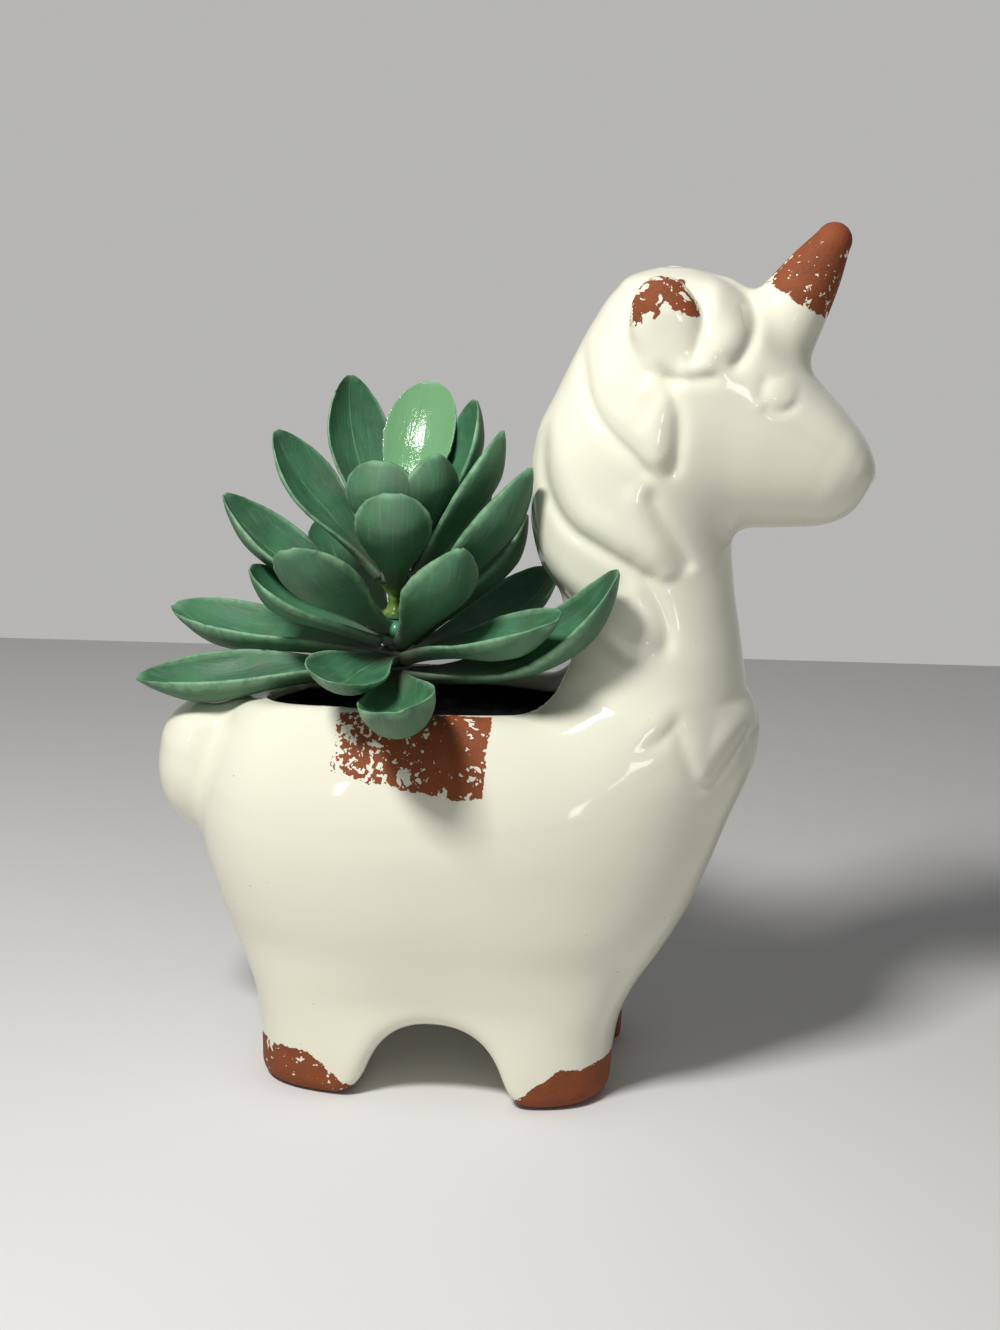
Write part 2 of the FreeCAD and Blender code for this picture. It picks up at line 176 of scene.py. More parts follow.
# Creases of the cast: height of the step, width of its raised and low sides,
# distance from the middle plane over which it fades in, and points (x, z).
# A positive step raises the left of the line's direction of travel.
CREASES = [
    (-1.1, 3.2, 1.5, (2, 8), [
        (34.6, 174.6), (37.6, 172.2), (39.9, 168.4), (41.1, 164.0), (41.4, 159.5),
        (40.9, 153.9), (39.5, 148.2)]),
    (1.0, 3.2, 1.6, (2, 9), [
        (20.9, 179.5), (21.6, 173.5), (22.9, 168.0), (25.4, 163.2), (29.6, 158.8),
        (33.3, 155.6), (36.5, 152.2), (39.3, 148.4)]),
    (1.0, 3.4, 1.7, (1, 9), [
        (14.6, 164.0), (13.3, 156.0), (13.6, 148.5), (16.4, 141.8), (20.6, 137.3),
        (26.6, 134.1), (32.4, 131.0), (37.6, 128.3), (44.9, 126.4)]),
    (-1.1, 2.8, 1.5, (2, 8), [
        (35.2, 149.0), (36.2, 144.0), (38.6, 138.8), (41.4, 134.0), (43.7, 129.6),
        (45.2, 126.2)]),
    (-0.9, 2.8, 1.6, (2, 8), [
        (33.6, 127.4), (36.6, 123.2), (39.3, 118.2), (40.6, 113.4), (39.9, 108.4)]),
    (0.8, 3.0, 1.6, (2, 9), [
        (9.6, 137.0), (11.4, 128.8), (16.0, 122.4), (21.8, 118.0), (28.6, 113.2),
        (34.5, 109.5), (40.0, 107.6)]),
    (-1.2, 3.0, 1.5, (1, 5), [
        (43.0, 196.0), (49.6, 192.4), (54.2, 188.4), (56.1, 184.2), (55.8, 180.2),
        (54.1, 177.0), (51.6, 174.2)]),
    (0.7, 2.6, 1.3, (4, 9), [
        (44.6, 192.4), (46.8, 187.6), (47.3, 181.8), (46.6, 176.6), (45.6, 173.4)]),
    (0.6, 2.4, 1.2, (4, 9), [
        (33.0, 175.4), (36.4, 173.3), (40.4, 172.6), (46.0, 172.9), (52.6, 174.0)]),
    (0.55, 2.6, 1.5, (-2, 0), [
        (33.6, 88.6), (38.0, 89.6), (42.6, 92.6), (45.4, 95.4), (47.4, 92.0),
        (49.6, 86.0), (52.0, 80.6), (54.6, 83.4), (57.8, 87.8), (60.4, 90.2),
        (61.6, 86.6), (63.4, 80.6)]),
]
# Domes of the eye and of the bump before it: x, z, radius, height
DOMES = [(64.9, 169.3, 3.4, 0.62), (60.2, 166.4, 1.6, 0.30)]
# Groove round the eye: depth, width and points (x, z)
EYELID = (0.35, 0.9, [
    (60.9, 172.4), (60.3, 169.2), (61.6, 166.2), (64.9, 164.9), (68.0, 166.2)])

# Leaf sections from hub to tip: along, rounded width, pointed width, channel depth
LEAF_ROWS = [
    (0.0, 0.30, 0.30, 0.05),
    (0.12, 0.33, 0.33, 0.15),
    (0.28, 0.51, 0.54, 0.36),
    (0.46, 0.79, 0.84, 0.62),
    (0.64, 0.99, 1.0, 0.94),
    (0.78, 0.97, 0.85, 0.90),
    (0.89, 0.79, 0.56, 0.60),
    (0.96, 0.53, 0.30, 0.28),
    (1.0, 0.22, 0.08, 0.05),
]
# The leaf at this azimuth came out of its mould glossier than the rest, and its lighter colour is
# painted sheen.
GLOSSY_AZIMUTH = 80.0
# Height of each whorl and its leaves: azimuth, share of the leaf length, pitch at the
# hub, pitch at the tip, roll, share of the channel depth and how pointed the tip is
WHORLS = {
    "leaf_whorl_1_lowest": (97.2, [
        (188.0, 1.25, 3.0, -11.0, -12.0, 0.88, 0.7),
        (281.0, 1.20, 4.0, 6.0, 13.0, 0.96, 0.2),
        (330.0, 1.47, 6.0, 50.0, 38.0, 0.75, 0.1),
        (98.0, 1.20, 14.0, -14.0, 0.0, 0.6, 0.3),
    ]),
    "leaf_whorl_2": (100.9, [
        (166.0, 1.22, 7.0, 4.0, -10.0, 0.85, 0.1),
        (260.0, 0.88, 10.0, -1.0, -14.0, 0.52, 0.0),
        (318.0, 1.20, 24.0, 14.0, 18.0, 0.75, 0.0),
        (35.0, 0.92, 14.0, 36.0, 10.0, 0.6, 0.0),
    ]),
    "leaf_whorl_3": (104.6, [
        (194.0, 0.78, 22.0, 34.0, -10.0, 0.55, 0.0),
        (305.0, 0.90, 36.0, 48.0, 0.0, 0.55, 1.0),
        (15.0, 0.88, 42.0, 54.0, 0.0, 0.55, 0.2),
        (128.0, 0.92, 24.0, 40.0, 0.0, 0.55, 0.2),
    ]),
    "leaf_whorl_4": (108.3, [
        (178.0, 1.04, 34.0, 38.0, -14.0, 0.58, 0.8),
        (240.0, 0.9, 30.0, 36.0, 20.0, 0.55, 0.1),
        (333.0, 1.14, 46.0, 55.0, 0.0, 0.5, 0.9),
        (66.0, 0.96, 40.0, 54.0, 0.0, 0.55, 0.4),
    ]),
    "leaf_whorl_5": (119.5, [
        (180.0, 0.92, 49.0, 54.0, -24.0, 0.35, 0.8),
        (277.0, 0.66, 36.0, 70.0, 0.0, 0.5, 0.0),
        (350.0, 0.92, 54.0, 64.0, 0.0, 0.45, 0.8),
        (98.0, 0.8, 50.0, 66.0, 0.0, 0.45, 0.3),
    ]),
    "leaf_whorl_6_top": (123.5, [
        (262.0, 0.62, 56.0, 80.0, 0.0, 0.45, 0.0),
        (316.0, 0.66, 60.0, 74.0, 0.0, 0.35, 0.9),
        (28.0, 0.88, 62.0, 74.0, 0.0, 0.45, 0.5),
        (80.0, 0.95, 80.0, 52.0, 0.0, 0.45, 0.0),
        (134.0, 0.98, 56.0, 75.0, 0.0, 0.45, 0.75),
    ]),
}
# Paint that the leaves' points carry for their plastic
LEAF_PAINT = ("leaf_edge", "leaf_under", "leaf_root", "leaf_middle", "leaf_gloss_and_sheen")
# Stations along a leaf up to where its tip starts, stations of the tip, places across
LEAF_COUNTS = (34, 12, 15)
LEAF_TIP_START = 0.9
# Ragged edge, tallest nib on it and how rare nibs are, crease down the middle, warp
LEAF_RAG, LEAF_NIB, NIB_RARITY, LEAF_CREASE, LEAF_WARP = 0.16, 0.42, 0.86, 0.35, 0.25

# Plant's stem, which bends below its lowest hub into a slanting pick
STEM_X = -24.0
STEM_RADIUS = 2.1
STEM_TOP = 127.5
BEND_HEIGHT = 93.25
PICK_ANGLE = 24.0
PICK_LENGTH = 54.0
HUB_RADIUS = 4.2
# Section of a hub ring: radius, rise
HUB_SECTION = [(2.15, -1.2), (3.7, -1.2), (4.1, -0.9), (HUB_RADIUS, -0.4),
               (HUB_RADIUS, 0.4), (4.1, 0.9), (3.7, 1.2), (2.15, 1.2)]
# Stem from its bend up, with collar and fork: along, radius, share of the ribs
STEM_SECTION = [(0.0, 2.1, 0.0), (15.0, 2.1, 0.0), (16.4, 2.1, 0.0), (16.45, 3.1, 0.0),
                (16.7, 3.3, 0.0), (17.8, 3.3, 0.0), (18.1, 3.0, 0.3), (18.6, 2.25, 1.0),
                (19.6, 1.9, 1.0), (20.4, 1.8, 1.0), (20.8, 2.05, 1.0), (21.2, 1.8, 1.0),
                (21.9, 2.0, 1.0), (22.8, 2.5, 2.2), (23.8, 3.0, 3.6), (24.7, 3.5, 4.0),
                (24.85, 2.1, 0.0)]
# Head of the pick, round which it bends: along, radius, share of the ribs
PICK_HEAD = [(-2.5, 0.6, 0.0), (-2.2, 1.5, 0.0), (-1.3, 2.3, 0.0), (0.0, 2.6, 0.0)]
PICK_RADIUS, PICK_POINT, PICK_TIP_RADIUS = 2.6, 6.0, 1.1
# Points round the stem and the pick, their ribs and how high these stand
STEM_RIBS, PICK_RIBS = (40, 4, 0.2), (32, 6, 0.05)
# Moulding pip on the stem: middle, radius
PIP = ((STEM_X + 0.8, -4.6, 107.6), 1.85)

# Foam: clearance from the cast's outline, depth of its worn top, height of its crumbs
FOAM_INSET, FOAM_WORN, FOAM_CRUMBS = 4.8, 1.0, 0.9
FOAM_RINGS, FOAM_SPOKES = 26, 96

# Lamps: place, where it points, size in metres, power and colour
LAMPS = {
    "key_lamp": ((-0.175, -0.33, 0.565), (0.0, 0.0, 0.11), (0.14, 0.09), 3.75,
                 (1.0, 0.99, 0.965)),
    "side_lamp": ((-0.50, -0.68, 0.38), (0.0, 0.0, 0.11), (0.04, 0.10), 0.10,
                  (1.0, 0.99, 0.97)),
    "window_lamp": ((0.38, -0.78, 0.16), (0.0, 0.0, 0.08), (0.16, 0.10), 0.30,
                    (0.90, 0.95, 1.0)),
}
# Camera: the point at the picture's middle, its lens and the width of its sensor
CAMERA_TARGET = (1.32, 0.0, 99.42)
LENS, SENSOR = 63.56, 36.0
# Reach of the floor to the near and both sides, in metres
FLOOR_REACH = 2.0


# Settings


def colour_setting(name, description, value):
    return bpy.props.FloatVectorProperty(name=name, description=description, subtype="COLOR",
                                         size=3, min=0.0, max=1.0, default=value)


def length_setting(name, description, value):
    return bpy.props.FloatProperty(name=name, description=description, subtype="DISTANCE",
                                   unit="LENGTH", min=0.0, default=value, precision=4)


def share_setting(name, description, value):
    return bpy.props.FloatProperty(name=name, description=description, subtype="FACTOR",
                                   min=0.0, max=1.0, default=value)


def angle_setting(name, description, degrees):
    return bpy.props.FloatProperty(name=name, description=description, subtype="ANGLE",
                                   unit="ROTATION", default=math.radians(degrees))


class PotSettings(bpy.types.PropertyGroup):
    """Sizes and colours of the glazed pot."""

    wall: length_setting("Wall", "Thickness of the cast wall", 4.5 * MM)
    detail: length_setting("Detail", "Size of the facets that the pot is built from", 0.8 * MM)
    fillet: length_setting("Fillet", "Softness where legs, neck and tail leave the body", 8.0 * MM)
    glaze: colour_setting("Glaze", "Colour of the cream glaze", (0.80, 0.785, 0.645))
    clay: colour_setting("Clay", "Colour of the bare clay in the chips", (0.215, 0.050, 0.010))
    # Painted shade: black laid on the well's inner wall below the rim, standing in for the shade
    # deep in the well.
    painted_shade: colour_setting("Painted_shade", "Black that the foam rubbed off inside the well",
                          (0.010, 0.010, 0.010))
    gloss: share_setting("Glaze roughness", "Roughness of the glaze", 0.07)


class LeafSettings(bpy.types.PropertyGroup):
    """Sizes and colours of the moulded leaves."""

    length: length_setting("Leaf length", "Length that the leaves' shares are taken of", 50.0 * MM)
    width: length_setting("Leaf width", "Width of a leaf at its widest", 17.5 * MM)
    channel: length_setting("Channel", "Depth of the hollow along the deepest leaf", 7.2 * MM)
    wall: length_setting("Leaf wall", "Thickness of a leaf over its keel", 1.7 * MM)
    edge: length_setting("Leaf edge", "Thickness of a leaf at its edges", 0.9 * MM)
    face: colour_setting("Upper face", "Colour of the upper faces", (0.043, 0.148, 0.070))
    under: colour_setting("Underside", "Colour of the undersides", (0.058, 0.158, 0.080))
    rim: colour_setting("Edges", "Colour of the dusty edges", (0.20, 0.38, 0.22))
    dust: colour_setting("Root dust", "Colour near the stem", (0.100, 0.115, 0.080))
    # Painted sheen: a lighter green on the glossy leaf stands in for the light it reflects.
    painted_sheen: colour_setting("Glossy leaf", "Colour of the glossy leaf", (0.16, 0.36, 0.17))


class StemSettings(bpy.types.PropertyGroup):
    """Colours of the plant's stem, wire and foam."""

    stem: colour_setting("Stem", "Colour of the upright stem", (0.105, 0.185, 0.028))
    pip: colour_setting("Pip", "Colour of the moulding pip", (0.07, 0.24, 0.14))
    foam: colour_setting("Foam", "Colour of the foam in the well", (0.006, 0.006, 0.007))
    wire: colour_setting("Wire", "Colour of the wire in the stem", (0.45, 0.45, 0.46))


class StageSettings(bpy.types.PropertyGroup):
    """Floor, lamps and camera."""

    floor: colour_setting("Floor", "Colour of the floor", (0.73, 0.725, 0.715))
    wall: colour_setting("Backdrop", "Colour of the backdrop that is seen", (0.47, 0.465, 0.455))
    sky: colour_setting("Surround", "Colour of the light all round", (0.155, 0.155, 0.158))
    far_edge: length_setting("Far edge", "Distance from the pot to the floor's edge", 0.438)
    distance: length_setting("Camera distance", "Distance from the camera to the pot", 0.56)
    azimuth: angle_setting("Azimuth", "Camera's turn about the pot", 8.0)
    elevation: angle_setting("Elevation", "Camera's angle above level", 13.5)
    roll: angle_setting("Roll", "Camera's turn about its own line", 1.639)


# Tables and distances


def along_table(rows, at):
    """Columns of a table at given places along its first column, on a smooth curve."""
    rows = np.asarray(rows, float)
    place = np.clip(at, rows[0, 0], rows[-1, 0])
    slot = np.clip(np.searchsorted(rows[:, 0], place, side="right") - 1, 0, len(rows) - 2)
    gaps = np.diff(rows[:, 0])[:, None]
    slopes = np.diff(rows[:, 1:], axis=0) / gaps
    inner = (slopes[1:] * gaps[:-1] + slopes[:-1] * gaps[1:]) / (gaps[1:] + gaps[:-1])
    tangents = np.vstack([slopes[:1], inner, slopes[-1:]])
    gap = gaps[slot, 0]
    step = (place - rows[slot, 0]) / gap
    columns = []
    for column in range(rows.shape[1] - 1):
        low, high = rows[slot, column + 1], rows[slot + 1, column + 1]
        leave, arrive = tangents[slot, column] * gap, tangents[slot + 1, column] * gap
        columns.append(low + step * (leave + step * (
            3 * (high - low) - 2 * leave - arrive + step * (2 * (low - high) + leave + arrive))))
    return columns


def smooth_line(points, count):
    """Points evenly spaced in parameter on a smooth curve through a few points."""
    rows = [(index, *point) for index, point in enumerate(points)]
    return np.stack(along_table(rows, np.linspace(0, len(points) - 1, count)), axis=-1)


def ease(value, low, high):
    """Smooth rise from 0 at one value to 1 at another."""
    share = np.clip((value - low) / (high - low), 0.0, 1.0)
    return share * share * (3.0 - 2.0 * share)


def join(first, second, soft):
    """Smaller of two distances, rounded where they meet."""
    share = np.clip(0.5 + 0.5 * (second - first) / soft, 0.0, 1.0)
    return second + (first - second) * share - soft * share * (1.0 - share)


def both(first, second, soft):
    """Larger of two distances, rounded where they meet."""
    return -join(-first, -second, soft)


def turned(x, z, degrees):
    """Distances across and along a line that leans forward from upright."""
    lean = math.radians(degrees)
    return x * math.cos(lean) - z * math.sin(lean), x * math.sin(lean) + z * math.cos(lean)


def level_form(x, y, z, rows, soft=1.0):
    """Distance to a form given by its level sections, oval where no squareness is given."""
    rear, front, width, *square = along_table(rows, z)
    middle, reach = (rear + front) / 2, (front - rear) / 2
    power = 2.0 / (square[0] if square else 1.0)
    off = x - middle
    size = (np.abs(off / reach) ** power + np.abs(y / width) ** power) ** (1.0 / power) + 1e-6
    upper = along_table(rows, z + 0.5)
    lower = along_table(rows, z - 0.5)
    slope = (upper[1] - upper[0]) / 4 + upper[2] / 2 - (lower[1] - lower[0]) / 4 - lower[2] / 2
    side = np.sqrt(off ** 2 + y ** 2) * (1.0 - 1.0 / size) / np.sqrt(1.0 + slope ** 2)
    return both(both(side, rows[0][0] - z, soft), z - rows[-1][0], soft)


def tunnel_form(across, z, tunnel):
    """Distance to a round topped tunnel that runs through under the belly."""
    middle, reach, top, square = tunnel
    power = 2.0 / square
    off = np.abs(across - middle)
    low = z + TUNNEL_SINK
    size = ((off / reach) ** power + (np.maximum(low, 0.0) / (top + TUNNEL_SINK)) ** power
            ) ** (1.0 / power) + 1e-6
    flare = SOLE_FLARE[0] * np.exp(-np.maximum(z, 0.0) / SOLE_FLARE[1])
    return np.sqrt(off ** 2 + low ** 2) * (1.0 - 1.0 / size) - flare


def head_form(x, y, z):
    """Head from skull to muzzle, rounder under the jaw than over the cheeks."""
    along, rise = turned(x - HEAD_START[0], z - HEAD_START[1], HEAD_DROP)
    above, below, width = along_table(HEAD_ROWS, along)
    reach = np.where(rise > 0, above, below)
    power = 2.0 + 0.8 * ease(rise, 0.0, 6.0)
    size = (np.abs(rise / reach) ** power + np.abs(y / width) ** power) ** (1.0 / power) + 1e-6
    nearer = along_table(HEAD_ROWS, along - 0.5)
    further = along_table(HEAD_ROWS, along + 0.5)
    slope = sum(nearer[i] - further[i] for i in range(3)) / 3
    side = np.sqrt(rise ** 2 + y ** 2) * (1.0 - 1.0 / size) / np.sqrt(1.0 + slope ** 2)
    return both(both(side, -along, 2.0), along - HEAD_ROWS[-1][0], 2.0)


def horn_form(x, y, z):
    """Cone with a round tip."""
    across, along = turned(x - HORN_BASE[0], z - HORN_BASE[1], HORN_LEAN)
    (radius,) = along_table(HORN_ROWS, along)
    beyond = np.maximum(along - HORN_ROWS[-1][0], 0.0)
    form = np.sqrt(across ** 2 + y ** 2 + beyond ** 2) - radius
    return both(form, HORN_ROWS[0][0] - along, 2.0)


def ear_form(x, y, z):
    """Rounded ear with a shallow hollow in its outer face."""
    across, along = turned(x - EAR_CENTRE[0], z - EAR_CENTRE[2], EAR_LEAN)
    off_y = np.abs(y) - EAR_CENTRE[1]
    size = np.sqrt((across / EAR_RADII[0]) ** 2 + (off_y / EAR_RADII[1]) ** 2
                   + (along / EAR_RADII[2]) ** 2) + 1e-6
    ear = np.sqrt(across ** 2 + off_y ** 2 + along ** 2) * (1.0 - 1.0 / size)
    middle_x, middle_z, wide, high, depth = EAR_HOLLOW
    hollow = np.sqrt(((across - middle_x) / wide) ** 2 + ((along - middle_z) / high) ** 2)
    return ear + depth * np.exp(-hollow ** 2 * 1.2) * ease(off_y, 0.0, 3.0)


def crease_map(x, z, step, raised, low, line):
    """Step along a line, given on a grid in the middle plane."""
    points = smooth_line(line, 8 * len(line))
    best = np.full(np.broadcast(x, z).shape, 1e9)
    side = np.zeros_like(best)
    place = np.zeros_like(best)
    for index, (start, end) in enumerate(zip(points[:-1], points[1:])):
        run_x, run_z = end - start
        length = run_x ** 2 + run_z ** 2
        off_x, off_z = x - start[0], z - start[1]
        share = np.clip((off_x * run_x + off_z * run_z) / length, 0.0, 1.0)
        gap = (off_x - share * run_x) ** 2 + (off_z - share * run_z) ** 2
        turn = run_x * off_z - run_z * off_x
        nearer = gap < best
        best = np.where(nearer, gap, best)
        side = np.where(nearer, np.sign(turn), side)
        place = np.where(nearer, (index + share) / (len(points) - 1), place)
    gap = np.sqrt(best)
    up = side * np.sign(step) > 0
    width = np.where(up, raised, low)
    form = gap / width * np.exp(0.5 - 0.5 * (gap / width) ** 2)
    ends = ease(place, 0.0, 0.22) * ease(1.0 - place, 0.0, 0.16)
    return abs(step) * form * np.where(up, 0.85, -1.0) * ends


def valley_map(x, z, depth, width, line):
    """Groove along a line, given on a grid in the middle plane."""
    points = smooth_line(line, 8 * len(line))
    best = np.full(np.broadcast(x, z).shape, 1e9)
    for point in points:
        best = np.minimum(best, (x - point[0]) ** 2 + (z - point[1]) ** 2)
    return -depth * np.exp(-best / width ** 2)


def relief(x, y, z):
    """Height of mane, forelock, eyes and chest over the smooth cast."""
    flat_x, flat_z = x[:, 0, :], z[:, 0, :]
    raised = np.zeros(np.broadcast(x, y, z).shape, np.float32)
    away = np.abs(y)
    for step, high_side, low_side, fade, line in CREASES:
        height = crease_map(flat_x, flat_z, step, high_side, low_side, line)[:, None, :]
        raised += height * ease(away, *fade)
    for dome_x, dome_z, radius, height in DOMES:
        gap = ((flat_x - dome_x) ** 2 + (flat_z - dome_z) ** 2) / radius ** 2
        dome = height * np.sqrt(np.clip(1.0 - gap, 0.0, 1.0)) ** 1.2
        raised += dome[:, None, :] * ease(away, 6.0, 9.0)
    depth, width, line = EYELID
    raised += valley_map(flat_x, flat_z, depth, width, line)[:, None, :] * ease(away, 6.0, 9.0)
    return raised


def pot_distance(x, y, z, wall, fillet):
    """Distances to the cast pot and to its outer form, below zero inside the clay."""
    body = level_form(x, y, z, BODY_ROWS, ROUND["sole"])
    dip = (z - RIM_HEIGHT) + np.maximum(RIM_DIP_START - x, 0.0) * RIM_DIP_SLOPE
    body = both(body, dip, ROUND["rim"])
    neck = level_form(x, y, z, NECK_ROWS)
    skull = join(neck, head_form(x, y, z), ROUND["jaw"])
    body = both(body, -tunnel_form(x, z, ARCH), ROUND["legs"])
    body = both(body, -tunnel_form(y, z, LEG_GAP), ROUND["legs"])
    outer = join(body, skull, fillet)
    cavity = outer + wall
    outer = join(outer, level_form(x, y, z, TAIL_ROWS), ROUND["tail"])
    outer = outer - relief(x, y, z)
    outer = join(outer, ear_form(x, y, z), ROUND["ear"])
    outer = join(outer, horn_form(x, y, z), ROUND["horn"])
    rear, front, width, top = OPENING
    middle, reach = (rear + front) / 2, (front - rear) / 2
    off = x - middle
    size = np.sqrt((off / reach) ** 2 + (y / width) ** 2) + 1e-6
    mouth = np.sqrt(off ** 2 + y ** 2) * (1.0 - 1.0 / size)
    mouth = both(both(mouth, z - top, ROUND["mouth"]), (RIM_HEIGHT - 2 * wall) - z,
                 ROUND["floor"])
    cavity = join(cavity, mouth, ROUND["well"])
    return both(outer, -cavity, ROUND["lip"]), outer


# Meshes


def grid_sample(values, corner, step, points):
    """Values of a grid between its points."""
    place = (points - corner) / step
    whole = np.clip(np.floor(place).astype(int), 0, np.array(values.shape[:3]) - 2)
    part = place - whole
    result = 0.0
    for bits in range(8):
        shift = np.array([bits & 1, bits >> 1 & 1, bits >> 2 & 1])
        weight = np.prod(np.where(shift == 1, part, 1.0 - part), axis=1)
        at = whole + shift
        sample = values[at[:, 0], at[:, 1], at[:, 2]]
        result = result + (weight[:, None] * sample if sample.ndim > 1 else weight * sample)
    return result


def skin_of(distance, corner, step):
    """Points, normals and quads on the zero surface of a grid of distances."""
    grid = openvdb.FloatGrid()
    grid.copyFromArray(distance.astype(np.float32))
    points, quads = grid.convertToQuads(isovalue=0.0)
    points = points.astype(float) * step + corner
    slopes = np.stack(np.gradient(distance, step), axis=-1).astype(np.float32)
    for _ in range(3):
        value = grid_sample(distance, corner, step, points)
        slope = grid_sample(slopes, corner, step, points)
        steep = np.maximum((slope ** 2).sum(1), 0.1)
        points -= slope * np.clip(value / steep, -step, step)[:, None]
    slope = grid_sample(slopes, corner, step, points)
    normals = slope / np.linalg.norm(slope, axis=1)[:, None]
    first = points[quads[:, 1]] - points[quads[:, 0]]
    second = points[quads[:, 2]] - points[quads[:, 0]]
    facing = (np.cross(first, second) * normals[quads[:, 0]]).sum(1)
    quads = quads if facing.sum() > 0 else quads[:, ::-1]
    return points, normals, quads


def mesh_object(name, points, faces, material, smooth=True):
    """New object from points in millimetres and faces as lists of corners."""
    mesh = bpy.data.meshes.new(name)
    mesh.from_pydata((np.asarray(points, float) * MM).tolist(), [],
                     [list(map(int, face)) for face in faces])
    mesh.validate()
    mesh.polygons.foreach_set("use_smooth", [smooth] * len(mesh.polygons))
    mesh.materials.append(material)
    thing = bpy.data.objects.new(name, mesh)
    bpy.context.scene.collection.objects.link(thing)
    return thing


def tube_faces(rows, ring, start=0):
    """Quads between rings of points, and a face over each end."""
    faces = []
    for row in range(rows - 1):
        low, high = start + row * ring, start + (row + 1) * ring
        for spot in range(ring):
            after = (spot + 1) % ring
            faces.append((low + spot, low + after, high + after, high + spot))
    last = start + (rows - 1) * ring
    faces.append(tuple(range(start + ring - 1, start - 1, -1)))
    faces.append(tuple(range(last, last + ring)))
    return faces


def stand_for(thing, node, body):
    """Rides on a body and takes the place of a node, which it hides."""
    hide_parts(node)
    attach(thing, body)


# Materials


class Wiring:
    """Short calls that add nodes to one new material."""

    def __init__(self, name):
        self.material = bpy.data.materials.new(name)
        self.material.use_nodes = True
        self.tree = self.material.node_tree
        self.shader = self.tree.nodes["Principled BSDF"]
        self.place = self.node("ShaderNodeTexCoord").outputs["Object"]

    def node(self, kind, inputs=(), **settings):
        made = self.tree.nodes.new(kind)
        for key, value in settings.items():
            setattr(made, key, value)
        for key, value in dict(inputs).items():
            self.feed(made.inputs[key], value)
        return made

    def feed(self, socket, value):
        if isinstance(value, bpy.types.NodeSocket):
            self.tree.links.new(value, socket)
        else:
            socket.default_value = value

    def finish(self, inputs):
        """Sets the shader's inputs and gives the material."""
        for key, value in inputs.items():
            self.feed(self.shader.inputs[key], value)
        return self.material

    def math(self, operation, first, *others):
        """One operation on a value, or from value to value."""
        for value in others or (0.0,):
            made = self.node("ShaderNodeMath", {0: first, 1: value}, operation=operation)
            first = made.outputs[0]
        return first

    def add(self, *values):
        return self.math("ADD", *values)

    def less(self, first, second):
        return self.math("SUBTRACT", first, second)

    def times(self, first, second):
        return self.math("MULTIPLY", first, second)

    def least(self, *values):
        return self.math("MINIMUM", *values)

    def most(self, *values):
        return self.math("MAXIMUM", *values)

    def painted(self, name, output="Fac"):
        return self.node("ShaderNodeAttribute", attribute_name=name).outputs[output]

    def axes(self):
        return self.node("ShaderNodeSeparateXYZ", {"Vector": self.place}).outputs

    def noise(self, scale, detail=3.0, rough=0.5, bend=0.0, place=None):
        return self.node("ShaderNodeTexNoise", {
            "Vector": self.place if place is None else place, "Scale": scale, "Detail": detail,
            "Roughness": rough, "Distortion": bend}).outputs[0]

    def step(self, value, low, high, start=0.0, end=1.0, curve="SMOOTHSTEP"):
        return self.node("ShaderNodeMapRange", {
            "Value": value, "From Min": low, "From Max": high, "To Min": start,
            "To Max": end}, interpolation_type=curve).outputs[0]

    def oval(self, across, along, wide, high):
        """How far inside an oval round the middle, in metres."""
        wider = self.math("POWER", self.math("DIVIDE", across, wide), 2.0)
        higher = self.math("POWER", self.math("DIVIDE", along, high), 2.0)
        return self.times(self.less(1.0, self.math("SQRT", self.add(wider, higher))), wide)

    def blend(self, share, first, second):
        made = self.node("ShaderNodeMix", data_type="RGBA")
        for socket, value in zip((made.inputs[0], made.inputs[6], made.inputs[7]),
                                 (share, first, second)):
            self.feed(socket, value)
        return made.outputs[2]

    def bump(self, height, distance, strength=1.0, under=None):
        inputs = {"Height": height, "Distance": distance, "Strength": strength}
        if under is not None:
            inputs["Normal"] = under
        return self.node("ShaderNodeBump", inputs).outputs[0]


def tint(colour, share=1.0):
    return (*(part * share for part in colour), 1.0)


def saddle_chip(wiring, x, y, z, fine):
    """Height above the lower edge of the saddle's chip, inside its sides."""
    rear, front, side, low, middle, rise = SADDLE_CHIP
    off = wiring.math("ABSOLUTE", wiring.less(x, middle * MM))
    above = wiring.less(z, wiring.add(wiring.times(off, rise), low * MM))
    ends = wiring.least(wiring.less(x, rear * MM), wiring.less(front * MM, x))
    outside = wiring.less(wiring.math("ABSOLUTE", y), side * MM)
    return wiring.least(above, wiring.add(ends, wiring.times(fine, -0.002)), outside)


def sole_chip(wiring, x, z):
    """Depth below the upper edge of the soles' chips."""
    middle, start, rise, top = SOLE_CHIP
    spread = wiring.math("ABSOLUTE", wiring.less(x, middle * MM))
    edge = wiring.times(wiring.less(spread, start * MM), rise)
    return wiring.less(wiring.least(edge, top * MM), z)


